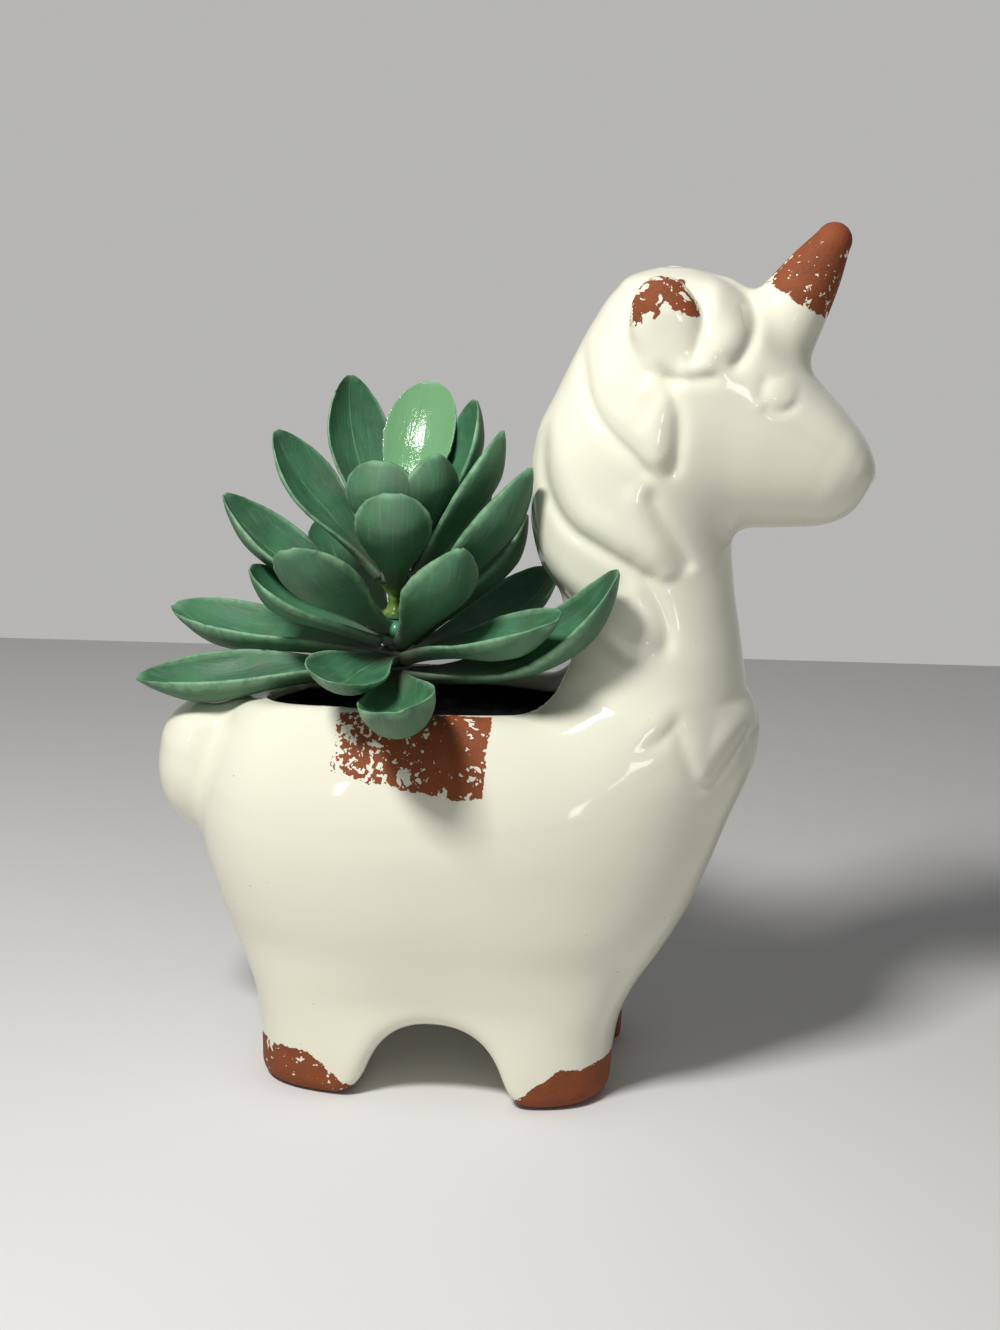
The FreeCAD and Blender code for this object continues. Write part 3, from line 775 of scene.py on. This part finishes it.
def ear_chip(wiring, x, y, z):
    """How far inside the chip on an ear, above its edge and round the glaze left in it."""
    tilt = math.radians(EAR_LEAN)
    off_x = wiring.less(x, EAR_CENTRE[0] * MM)
    off_z = wiring.less(z, EAR_CENTRE[2] * MM)
    across = wiring.less(wiring.times(off_x, math.cos(tilt)),
                         wiring.times(off_z, math.sin(tilt)))
    along = wiring.add(wiring.times(off_x, math.sin(tilt)),
                       wiring.times(off_z, math.cos(tilt)))
    ear = wiring.oval(across, along, *(size * MM for size in EAR_CHIP))
    edge, rise = EAR_CHIP_EDGE
    lobes = wiring.less(wiring.less(off_z, edge * MM), wiring.times(off_x, rise))
    notch_x, notch_z, wide, high = (part * MM for part in EAR_CHIP_NOTCH)
    notch = wiring.oval(wiring.less(off_x, notch_x), wiring.less(off_z, notch_z), wide, high)
    near, far = (side * MM for side in EAR_CHIP_SIDES)
    beside = wiring.most(wiring.less(near, y), wiring.less(y, far))
    return wiring.least(ear, lobes, wiring.times(notch, -1.0), beside)


def horn_chip(wiring, x, z):
    """Distance up the horn from where its glaze ends."""
    lean = math.radians(HORN_LEAN)
    along = wiring.add(wiring.times(x, math.sin(lean)), wiring.times(z, math.cos(lean)))
    foot = HORN_BASE[0] * math.sin(lean) + HORN_BASE[1] * math.cos(lean)
    return wiring.less(along, (foot + HORN_CHIP_START) * MM)


def chip_mask(wiring, outer):
    """Where the glaze is chipped off, apart from the flecks of it that are left there."""
    x, y, z = wiring.axes()
    ragged = wiring.less(wiring.noise(260.0, 4.0, 0.6), 0.5)
    fine = wiring.less(wiring.noise(900.0, 3.0, 0.6), 0.5)
    wander = wiring.add(wiring.times(ragged, 0.010), wiring.times(fine, 0.003))
    region = wiring.most(saddle_chip(wiring, x, y, z, fine), sole_chip(wiring, x, z),
                         ear_chip(wiring, x, y, z), horn_chip(wiring, x, z))
    bare = wiring.step(wiring.add(region, wiring.times(wander, 0.35)), -0.00008, 0.00008)

    # Flecks get rarer deeper inside a chip, towards the saddle's front and on the soles.
    fleck = wiring.noise(330.0, 3.0, 0.55, 0.4)
    deeper = wiring.step(region, 0.0, 0.010, 0.0, 0.105, "LINEAR")
    forward = wiring.step(x, -0.032, 0.004, 0.0, 0.05, "LINEAR")
    head = wiring.step(x, 0.020, 0.050, 0.0, 0.048, "LINEAR")
    limit = wiring.less(wiring.add(0.545, deeper, forward), head)
    limit = wiring.add(limit, wiring.step(z, 0.030, 0.040, 0.09, 0.0))
    crumbs = wiring.noise(760.0, 2.0, 0.5, 0.3)
    sparse = wiring.add(wiring.step(x, -0.026, -0.004, 0.545, 0.68, "LINEAR"),
                        wiring.step(region, 0.0, 0.012, 0.0, 0.05, "LINEAR"),
                        wiring.step(z, 0.030, 0.040, 0.12, 0.0))
    kept = wiring.most(wiring.step(wiring.less(fleck, limit), -0.006, 0.006),
                       wiring.step(wiring.less(crumbs, sparse), -0.006, 0.006))
    bare = wiring.times(bare, wiring.math("GREATER_THAN", outer, 0.5))
    return wiring.times(bare, wiring.less(1.0, kept))


def glazed_clay():
    """Cream glaze over red clay, chipped at saddle, feet, ears and horn, with painted shade on the
    well's inner wall.
    """
    settings = bpy.context.scene.planter_pot
    wiring = Wiring("chipped_cream_glaze")
    outer = wiring.painted("outer_face")
    bare = chip_mask(wiring, outer)
    glaze = wiring.blend(wiring.step(wiring.noise(14.0, 2.0), 0.35, 0.65),
                         tint(settings.glaze, 0.97), tint(settings.glaze, 1.03))
    specks = wiring.step(wiring.noise(700.0, 1.0), 0.80, 0.83)
    glaze = wiring.blend(wiring.times(specks, 0.5), glaze, tint(settings.clay, 1.2))
    # Painted shade: the well's inner wall below the rim is blackened, standing in for the shade
    # deep in the well.
    shaded = wiring.add(wiring.axes()[2], wiring.times(wiring.noise(240.0, 3.0), 0.003))
    shaded = wiring.times(wiring.step(shaded, 0.0885, 0.0905, 1.0, 0.0),
                          wiring.step(outer, 0.02, 0.3, 1.0, 0.0))
    glaze = wiring.blend(wiring.times(shaded, 0.94), glaze, tint(settings.painted_shade))
    grain = wiring.noise(1400.0, 4.0, 0.6)
    clay = wiring.blend(wiring.step(wiring.noise(160.0, 3.0), 0.3, 0.7),
                        tint(settings.clay, 0.72), tint(settings.clay, 1.22))
    clay = wiring.blend(wiring.step(grain, 0.35, 0.65), clay, tint(settings.clay, 1.05))
    peel = wiring.bump(wiring.noise(55.0, 2.0), 0.0006, 0.22)
    layer = wiring.bump(wiring.less(1.0, bare), 0.00028, 1.0, peel)
    return wiring.finish({
        "Base Color": wiring.blend(bare, glaze, clay),
        "Roughness": wiring.step(bare, 0.0, 1.0, settings.gloss, 0.78, "LINEAR"),
        "Normal": wiring.bump(wiring.times(grain, bare), 0.00018, 0.8, layer)})


def leaf_plastic():
    """Matte green plastic with pale dusty edges, a darker root and painted sheen on the glossy
    leaf.
    """
    settings = bpy.context.scene.planter_leaves
    wiring = Wiring("dusty_green_leaf")
    edge, under, root, middle, gloss_and_sheen = (wiring.painted(name) for name in LEAF_PAINT)
    cloud = wiring.step(wiring.noise(90.0, 4.0, 0.6), 0.35, 0.68)
    streak = wiring.noise(1.0, 4.0, 0.6, 0.0, wiring.painted("leaf_lines", "Vector"))
    face = wiring.blend(cloud, tint(settings.face, 0.85), tint(settings.face, 1.25))
    back = wiring.blend(cloud, tint(settings.under, 0.85), tint(settings.under, 1.15))
    colour = wiring.blend(under, face, back)
    line = wiring.times(wiring.step(middle, 0.86, 0.95),
                        wiring.step(wiring.noise(130.0, 2.0), 0.4, 0.6, 0.1, 0.7))
    film = wiring.times(wiring.step(wiring.noise(65.0, 5.0, 0.65), 0.50, 0.72, 0.0, 0.42),
                        wiring.less(1.0, gloss_and_sheen))
    worn = wiring.times(edge, wiring.step(wiring.noise(420.0, 3.0), 0.3, 0.6, 0.45, 1.0))
    dusty = wiring.times(root, wiring.step(wiring.noise(240.0, 3.0), 0.35, 0.65, 0.35, 1.0))
    # The glossy leaf's lighter colour in these layers is painted sheen; its lower roughness below
    # is real gloss.
    for share, laid in ((wiring.step(streak, 0.5, 0.75, 0.0, 0.22), settings.rim),
                        (line, settings.rim), (film, settings.dust),
                        (gloss_and_sheen, settings.painted_sheen), (worn, settings.rim),
                        (dusty, settings.dust)):
        colour = wiring.blend(share, colour, tint(laid))
    dull = wiring.step(cloud, 0.0, 1.0, 0.48, 0.64, "LINEAR")
    veins = wiring.bump(streak, 0.0003, 0.45)
    return wiring.finish({
        "Base Color": colour,
        "Roughness": wiring.less(dull, wiring.times(gloss_and_sheen, 0.44)),
        "Specular IOR Level": 0.36,
        "Normal": wiring.bump(wiring.noise(1300.0, 3.0), 0.0001, 0.5, veins)})


def stem_plastic():
    """Yellow green plastic, a little clear, with moulding streaks."""
    settings = bpy.context.scene.planter_stem
    wiring = Wiring("clear_green_stem")
    stem = wiring.blend(wiring.step(wiring.noise(420.0, 3.0), 0.35, 0.65),
                        tint(settings.stem, 0.7), tint(settings.stem, 1.5))
    upper = wiring.step(wiring.axes()[2], 0.1098, 0.1108)
    return wiring.finish({
        "Base Color": wiring.blend(upper, tint(settings.pip), stem),
        "Roughness": 0.28,
        "Subsurface Weight": 0.15,
        "Subsurface Radius": (0.002, 0.003, 0.001),
        "Normal": wiring.bump(wiring.noise(500.0, 3.0), 0.0004, 0.5)})


def black_foam():
    """Dull black foam with open cells."""
    settings = bpy.context.scene.planter_stem
    wiring = Wiring("black_foam")
    cells = wiring.node("ShaderNodeTexVoronoi", {"Vector": wiring.place, "Scale": 700.0})
    cloud = wiring.noise(300.0, 4.0, 0.6)
    return wiring.finish({
        "Base Color": wiring.blend(wiring.step(cloud, 0.35, 0.7), tint(settings.foam, 0.6),
                                   tint(settings.foam, 2.4)),
        "Roughness": 0.9,
        "Normal": wiring.bump(cells.outputs[0], 0.0008, 0.8, wiring.bump(cloud, 0.0015, 0.8))})


def drawn_wire():
    """Dull steel wire with drawing marks."""
    settings = bpy.context.scene.planter_stem
    wiring = Wiring("drawn_wire")
    marks = wiring.noise(900.0, 4.0, 0.7)
    return wiring.finish({
        "Base Color": wiring.blend(marks, tint(settings.wire, 0.8), tint(settings.wire, 1.1)),
        "Metallic": 1.0,
        "Roughness": wiring.step(marks, 0.3, 0.7, 0.3, 0.45)})


def pale_floor():
    """Matte floor with a faint cloudiness."""
    settings = bpy.context.scene.planter_stage
    wiring = Wiring("pale_floor")
    return wiring.finish({
        "Base Color": wiring.blend(wiring.noise(3.0, 2.0), tint(settings.floor, 0.98),
                                   tint(settings.floor, 1.02)),
        "Roughness": 0.9})


# Pieces


def build_pot():
    """Cast pot with horn, ears, mane, tail, feet and opening as one skin."""
    settings = bpy.context.scene.planter_pot
    step = settings.detail / MM * 1.0
    low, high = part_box("planter_shell")
    margin = 4.0
    corner = np.array(low) / MM - margin
    counts = np.ceil((np.array(high) / MM + margin - corner) / step).astype(int) + 1
    lines = [corner[axis] + step * np.arange(counts[axis]) for axis in range(3)]
    x, y, z = np.meshgrid(*lines, indexing="ij", sparse=True)
    distance, outer = pot_distance(x, y, z, settings.wall / MM, settings.fillet / MM)
    points, normals, quads = skin_of(distance, corner, step)
    shown = ease(grid_sample(outer, corner, step, points), *WELL_BAND)
    points[:, 2] = np.maximum(points[:, 2], 0.0)
    pot = mesh_object("glazed_pot", points, quads, glazed_clay())
    pot.data.normals_split_custom_set_from_vertices(normals.tolist())
    layer = pot.data.attributes.new("outer_face", "FLOAT", "POINT")
    layer.data.foreach_set("value", shown.astype(np.float32))
    stand_for(pot, "planter_shell", "pot")
    return pot


def build_foam():
    """Foam wedged in the well, with a torn top round the pick."""
    rings, spokes = FOAM_RINGS, FOAM_SPOKES
    low, high = (np.array(corner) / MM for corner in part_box("foam_block"))
    top = high[2]
    noise = np.random.default_rng(7)
    bumps = noise.uniform(-1.0, 1.0, (rings + 1, spokes))
    levels = [row for row in BODY_ROWS if low[2] + 8 < row[0] < top - 4]
    heights = [low[2]] + [row[0] for row in levels] + [top - 1.2]
    rear, front, width, square = along_table(BODY_ROWS, np.array(heights + [top]))
    points = []

    def outline(index, share, height):
        middle = (rear[index] + front[index]) / 2
        reach = (front[index] - rear[index]) / 2 - FOAM_INSET
        for spoke in range(spokes):
            angle = 2 * math.pi * spoke / spokes
            across = math.copysign(abs(math.sin(angle)) ** square[index], math.sin(angle))
            along = math.copysign(abs(math.cos(angle)) ** square[index], math.cos(angle))
            off = min(middle + reach * along * share, high[0])
            points.append((off, (width[index] - FOAM_INSET) * across * share, height[spoke]))

    for index, height in enumerate(heights):
        outline(index, 1.0, [height] * spokes)
    for ring in range(rings):
        share = (1.0 - ring / rings) * 0.985
        torn = [top - FOAM_WORN + FOAM_CRUMBS * bumps[ring, spoke] * min(1.0, ring / 2)
                for spoke in range(spokes)]
        outline(len(heights), share, torn)
    faces = tube_faces(len(heights) + rings, spokes)
    foam = mesh_object("foam_plug", points, faces, black_foam())
    stand_for(foam, "foam_block", "pot")
    return foam


def leaf_axes(azimuth, pitch, roll):
    """Directions along, across and out of the upper face of a leaf."""
    heading, rise, twist = (math.radians(angle) for angle in (azimuth, pitch, roll))
    level = np.array([math.cos(heading), math.sin(heading), 0.0])
    across = np.array([-math.sin(heading), math.cos(heading), 0.0])
    up = np.array([0.0, 0.0, 1.0])
    along = level * math.cos(rise) + up * math.sin(rise)
    out = up * math.cos(rise) - level * math.sin(rise)
    return (along, across * math.cos(twist) + out * math.sin(twist),
            out * math.cos(twist) - across * math.sin(twist))


def arc_rows(half_width, depth, places):
    """Depth below its ends of an arc at places from -1 to 1 across."""
    depth = max(depth, 1e-3)
    radius = (half_width ** 2 + depth ** 2) / (2 * depth)
    return np.sqrt(np.maximum(radius ** 2 - (half_width * places) ** 2, 0.0)) - (radius - depth)


def leaf_mesh(height, row, seed):
    """Points, faces and paint of one leaf with ragged moulded edges."""
    azimuth, length_share, start_pitch, end_pitch, roll, channel_share, point = row
    settings = bpy.context.scene.planter_leaves
    length = settings.length / MM * length_share
    width, channel = settings.width / MM, settings.channel / MM * channel_share
    wall, edge = settings.wall / MM, settings.edge / MM
    noise = np.random.default_rng(seed)
    blade_count, tip_count, place_count = LEAF_COUNTS
    stations = np.concatenate([np.linspace(0, LEAF_TIP_START, blade_count)[:-1],
                               np.linspace(LEAF_TIP_START, 1.0, tip_count)])
    top_places = np.sin(np.linspace(-1, 1, place_count) * math.pi / 2)
    low_places = top_places[::-1]
    root = (STEM_RADIUS + HUB_RADIUS) / 2
    along, _, _ = leaf_axes(azimuth, 0.0, 0.0)
    centre = np.array([STEM_X, 0.0, height]) + along * root
    reach = length - root
    rounded, pointed, depths = along_table(LEAF_ROWS, stations)
    widths = rounded + (pointed - rounded) * point
    ragged = noise.uniform(-1.0, 1.0, (2, len(stations)))
    spikes = noise.uniform(0.0, 1.0, (2, len(stations)))
    wave = noise.uniform(-1.0, 1.0, 4)
    # This paint gives the glossy leaf a lower roughness and a lighter colour, which is painted
    # sheen.
    gloss = 1.0 if azimuth == GLOSSY_AZIMUTH else 0.0
    points, paint = [], []
    last = 0.0
    for index, share in enumerate(stations):
        middle = start_pitch + (end_pitch - start_pitch) * (share + last) / 2
        step, _, _ = leaf_axes(azimuth, middle, 0.0)
        centre = centre + step * (reach * (share - last))
        last = share
        pitch = start_pitch + (end_pitch - start_pitch) * share
        _, across, out = leaf_axes(azimuth, pitch, roll * min(1.0, 2 * share))
        half = width * widths[index] / 2
        drop = channel * depths[index]
        thick = (wall + 0.2 * max(0.0, 1 - 4 * share)) * min(1.0, 0.30 + 3 * (1 - share))
        thin = edge * min(1.0, 0.25 + 4 * (1 - share))
        outer = min(1.0, 3 * share) * min(1.0, 6 * (1 - share) + 0.15)
        rag = [(LEAF_RAG * ragged[side, index] + LEAF_NIB
                * max(0.0, spikes[side, index] - NIB_RARITY) / (1.0 - NIB_RARITY))
               * outer for side in (0, 1)]
        for places, lower in ((top_places, False), (low_places, True)):
            sag = arc_rows(half, drop + (thick if lower else 0.0), places)
            for place, depth in zip(places, sag):
                side = 1 if place > 0 else 0
                grow = rag[side] * abs(place) ** 8
                crease = (0.0 if lower else
                          LEAF_CREASE * math.exp(-(place / 0.10) ** 2) * outer)
                lift = (-thin / 2 if lower else thin / 2) - depth - crease
                lift += LEAF_WARP * outer * wave[0] * place * math.sin(5 * share + wave[1])
                points.append(centre + across * (half * place + math.copysign(grow, place))
                              + out * lift)
                rim = max(0.0, (abs(place) - 0.90) / 0.10)
                tip = ease(share, 0.955, 1.0)
                paint.append((max(rim * outer, tip * 0.7), 1.0 if lower else 0.0,
                              float(1.0 - ease(share, 0.10, 0.40)),
                              0.0 if lower or share < 0.1 else max(0.0, 1.0 - abs(place) * 4.5),
                              0.0 if lower else gloss,
                              share * length * 0.10 + wave[2], half * place * 1.1 + wave[3]))
    faces = tube_faces(len(stations), len(top_places) + len(low_places))
    return points, faces, paint


def hub_mesh(height):
    """Points and faces of the ring that the leaves are moulded on."""
    spokes = 32
    points, faces = [], []
    for spoke in range(spokes):
        angle = 2 * math.pi * spoke / spokes
        for radius, rise in HUB_SECTION:
            points.append((STEM_X + radius * math.cos(angle), radius * math.sin(angle),
                           height + rise))
    count = len(HUB_SECTION)
    for spoke in range(spokes):
        after = (spoke + 1) % spokes
        for spot in range(count):
            over = (spot + 1) % count
            faces.append((spoke * count + spot, after * count + spot, after * count + over,
                          spoke * count + over))
    return points, faces


def build_whorl(node, height, rows, material, seed):
    """Hub ring and its leaves as one moulding."""
    points, faces = hub_mesh(height)
    paint = [(0.0, 0.0, 1.0, 0.0, 0.0, 0.0, 0.0)] * len(points)
    for index, row in enumerate(rows):
        more_points, more_faces, more_paint = leaf_mesh(height, row, seed + index)
        start = len(points)
        points = points + more_points
        faces = faces + [tuple(start + corner for corner in face) for face in more_faces]
        paint = paint + more_paint
    whorl = mesh_object(node + "_moulding", points, faces, material)
    paint = np.array(paint, np.float32)
    for column, name in enumerate(LEAF_PAINT):
        layer = whorl.data.attributes.new(name, "FLOAT", "POINT")
        layer.data.foreach_set("value", paint[:, column].copy())
    layer = whorl.data.attributes.new("leaf_lines", "FLOAT_VECTOR", "POINT")
    vectors = np.zeros((len(paint), 3), np.float32)
    vectors[:, :2] = paint[:, 5:7]
    layer.data.foreach_set("vector", vectors.ravel())
    stand_for(whorl, node, "plant")
    return whorl


def lathe(points, faces, profile, origin, axis, side, spokes, ribs=0, rib=0.0):
    """Adds a turned form: profile of distance along and radius, with soft ribs."""
    start = len(points)
    other = np.cross(axis, side)
    for along, radius, share in profile:
        for spoke in range(spokes):
            angle = 2 * math.pi * spoke / spokes
            reach = radius + rib * share * math.cos(ribs * angle)
            points.append(origin + axis * along + side * (reach * math.cos(angle))
                          + other * (reach * math.sin(angle)))
    faces.extend(tube_faces(len(profile), spokes, start))


def build_stem():
    """Ribbed stem with collar and fork, and the pick below its bend."""
    points, faces = [], []
    up, side = np.array([0.0, 0.0, 1.0]), np.array([1.0, 0.0, 0.0])
    bend = np.array([STEM_X, 0.0, BEND_HEIGHT])
    top = STEM_TOP - BEND_HEIGHT
    upright = STEM_SECTION + [(top - 1.6, 2.1, 0.0), (top - 0.5, 1.9, 0.0), (top, 1.2, 0.0)]
    lathe(points, faces, upright, bend, up, side, *STEM_RIBS)
    lean = math.radians(-PICK_ANGLE)
    axis = -np.array([math.sin(lean), 0.0, math.cos(lean)])
    across = np.cross(axis, np.array([0.0, 1.0, 0.0]))
    notches = np.linspace(2.0, PICK_LENGTH - PICK_POINT, 17)
    pick = PICK_HEAD + [(along, PICK_RADIUS - 0.08 * (index % 2), 1.0)
                        for index, along in enumerate(notches)]
    pick += [(PICK_LENGTH - PICK_POINT / 2, (PICK_RADIUS + PICK_TIP_RADIUS) / 2, 0.6),
             (PICK_LENGTH, PICK_TIP_RADIUS, 0.0)]
    lathe(points, faces, pick, bend, axis, across, *PICK_RIBS)
    middle, radius = PIP
    ball = [(-radius * math.cos(turn), radius * math.sin(turn) + 0.02, 0.0)
            for turn in np.linspace(0, math.pi, 13)]
    lathe(points, faces, ball, np.array(middle), up, side, 24)
    stem = mesh_object("ribbed_stem", points, faces, stem_plastic())
    stand_for(stem, "plant_stem", "plant")
    return stem


def build_floor():
    """Floor whose far edge lies square to the photograph's line of sight."""
    settings = bpy.context.scene.planter_stage
    near, far = -FLOOR_REACH, settings.far_edge
    points = [(near, near, 0.0), (-near, near, 0.0), (-near, far, 0.0), (near, far, 0.0)]
    floor = mesh_object("pale_floor", np.array(points) / MM, [(0, 1, 2, 3)], pale_floor())
    floor.rotation_euler = (0.0, 0.0, settings.azimuth)


def build_lamp(name, place, target, size, power, colour):
    """Soft rectangular lamp that points at a place."""
    data = bpy.data.lights.new(name, "AREA")
    data.shape = "RECTANGLE"
    data.size, data.size_y = size
    data.energy = power
    data.color = colour
    made = bpy.data.objects.new(name, data)
    made.location = place
    made.rotation_mode = "QUATERNION"
    made.rotation_quaternion = (Vector(target) - Vector(place)).to_track_quat("-Z", "Y")
    bpy.context.scene.collection.objects.link(made)


def build_sky():
    """Light all round, and the backdrop that the camera and the gloss see."""
    settings = bpy.context.scene.planter_stage
    world = bpy.data.worlds.new("pale_surround")
    world.use_nodes = True
    tree = world.node_tree
    sky = tree.nodes["Background"]
    sky.inputs["Color"].default_value = tint(settings.sky)
    sky.inputs["Strength"].default_value = 1.0
    wall = tree.nodes.new("ShaderNodeBackground")
    wall.inputs["Color"].default_value = tint(settings.wall)
    wall.inputs["Strength"].default_value = 1.0
    path = tree.nodes.new("ShaderNodeLightPath").outputs
    seen = path["Is Camera Ray"]
    for kind in ("Is Glossy Ray", "Is Transmission Ray"):
        either = tree.nodes.new("ShaderNodeMath")
        either.operation = "MAXIMUM"
        tree.links.new(seen, either.inputs[0])
        tree.links.new(path[kind], either.inputs[1])
        seen = either.outputs[0]
    mix = tree.nodes.new("ShaderNodeMixShader")
    tree.links.new(seen, mix.inputs[0])
    tree.links.new(sky.outputs[0], mix.inputs[1])
    tree.links.new(wall.outputs[0], mix.inputs[2])
    tree.links.new(mix.outputs[0], tree.nodes["World Output"].inputs["Surface"])
    bpy.context.scene.world = world


def build_camera():
    """Camera at the photograph's angle, for an image of 1000 by 1330."""
    settings = bpy.context.scene.planter_stage
    azimuth, elevation = settings.azimuth, settings.elevation
    target = Vector(CAMERA_TARGET) * MM
    back = Vector((math.sin(azimuth) * math.cos(elevation),
                   -math.cos(azimuth) * math.cos(elevation), math.sin(elevation)))
    level = Vector((math.cos(azimuth), math.sin(azimuth), 0.0))
    up = level.cross(-back)
    right = level * math.cos(settings.roll) + up * math.sin(settings.roll)
    up = right.cross(-back)
    data = bpy.data.cameras.new("photograph_camera")
    data.sensor_width = SENSOR
    data.lens = LENS
    data.clip_start = 0.01
    camera = bpy.data.objects.new("photograph_camera", data)
    turn = Matrix((right, up, back)).transposed().to_4x4()
    camera.matrix_world = Matrix.Translation(target + back * settings.distance) @ turn
    bpy.context.scene.collection.objects.link(camera)
    bpy.context.scene.camera = camera


# Operators


class PLANTER_OT_stage(bpy.types.Operator):
    """Make the floor, the lamps and the camera"""

    bl_idname = "planter.stage"
    bl_label = "Stage"

    def execute(self, context):
        context.scene.view_settings.view_transform = "Standard"
        build_floor()
        build_sky()
        for name, lamp in LAMPS.items():
            build_lamp(name, *lamp)
        build_camera()
        return {"FINISHED"}


class PLANTER_OT_pot(bpy.types.Operator):
    """Make the glazed pot"""

    bl_idname = "planter.pot"
    bl_label = "Glazed pot"

    def execute(self, context):
        build_pot()
        return {"FINISHED"}


class PLANTER_OT_foam(bpy.types.Operator):
    """Make the foam in the well"""

    bl_idname = "planter.foam"
    bl_label = "Foam"

    def execute(self, context):
        build_foam()
        return {"FINISHED"}


class PLANTER_OT_stem(bpy.types.Operator):
    """Make the stem with its pick, and finish the wire inside it"""

    bl_idname = "planter.stem"
    bl_label = "Stem and wire"

    def execute(self, context):
        build_stem()
        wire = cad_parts["stem_wire"]
        wire.data.materials.clear()
        wire.data.materials.append(drawn_wire())
        return {"FINISHED"}


class PLANTER_OT_leaves(bpy.types.Operator):
    """Make the six whorls of leaves"""

    bl_idname = "planter.leaves"
    bl_label = "Leaf whorls"

    def execute(self, context):
        material = leaf_plastic()
        for index, (node, (height, rows)) in enumerate(WHORLS.items()):
            build_whorl(node, height, rows, material, 11 * (index + 1))
        return {"FINISHED"}


class PLANTER_PT_panel(bpy.types.Panel):
    """Buttons and settings of the planter"""

    bl_idname = "PLANTER_PT_panel"
    bl_label = "Unicorn planter"
    bl_space_type = "VIEW_3D"
    bl_region_type = "UI"
    bl_category = "Planter"

    def draw(self, context):
        for operator in OPERATORS:
            self.layout.operator(operator.bl_idname)
        for name, group in GROUPS.items():
            settings = getattr(context.scene, name)
            box = self.layout.box()
            for key in group.__annotations__:
                box.prop(settings, key)


OPERATORS = [PLANTER_OT_stage, PLANTER_OT_pot, PLANTER_OT_foam, PLANTER_OT_stem,
             PLANTER_OT_leaves]
GROUPS = {"planter_pot": PotSettings, "planter_leaves": LeafSettings,
          "planter_stem": StemSettings, "planter_stage": StageSettings}


def register():
    for name, group in GROUPS.items():
        bpy.utils.register_class(group)
        setattr(bpy.types.Scene, name, bpy.props.PointerProperty(type=group))
    for operator in OPERATORS:
        bpy.utils.register_class(operator)
    bpy.utils.register_class(PLANTER_PT_panel)


def unregister():
    bpy.utils.unregister_class(PLANTER_PT_panel)
    for operator in reversed(OPERATORS):
        bpy.utils.unregister_class(operator)
    for name, group in reversed(GROUPS.items()):
        delattr(bpy.types.Scene, name)
        bpy.utils.unregister_class(group)


def main():
    register()
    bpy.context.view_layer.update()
    for operator in (bpy.ops.planter.stage, bpy.ops.planter.pot, bpy.ops.planter.foam,
                     bpy.ops.planter.stem, bpy.ops.planter.leaves):
        operator()


if __name__ == "__main__":
    main()
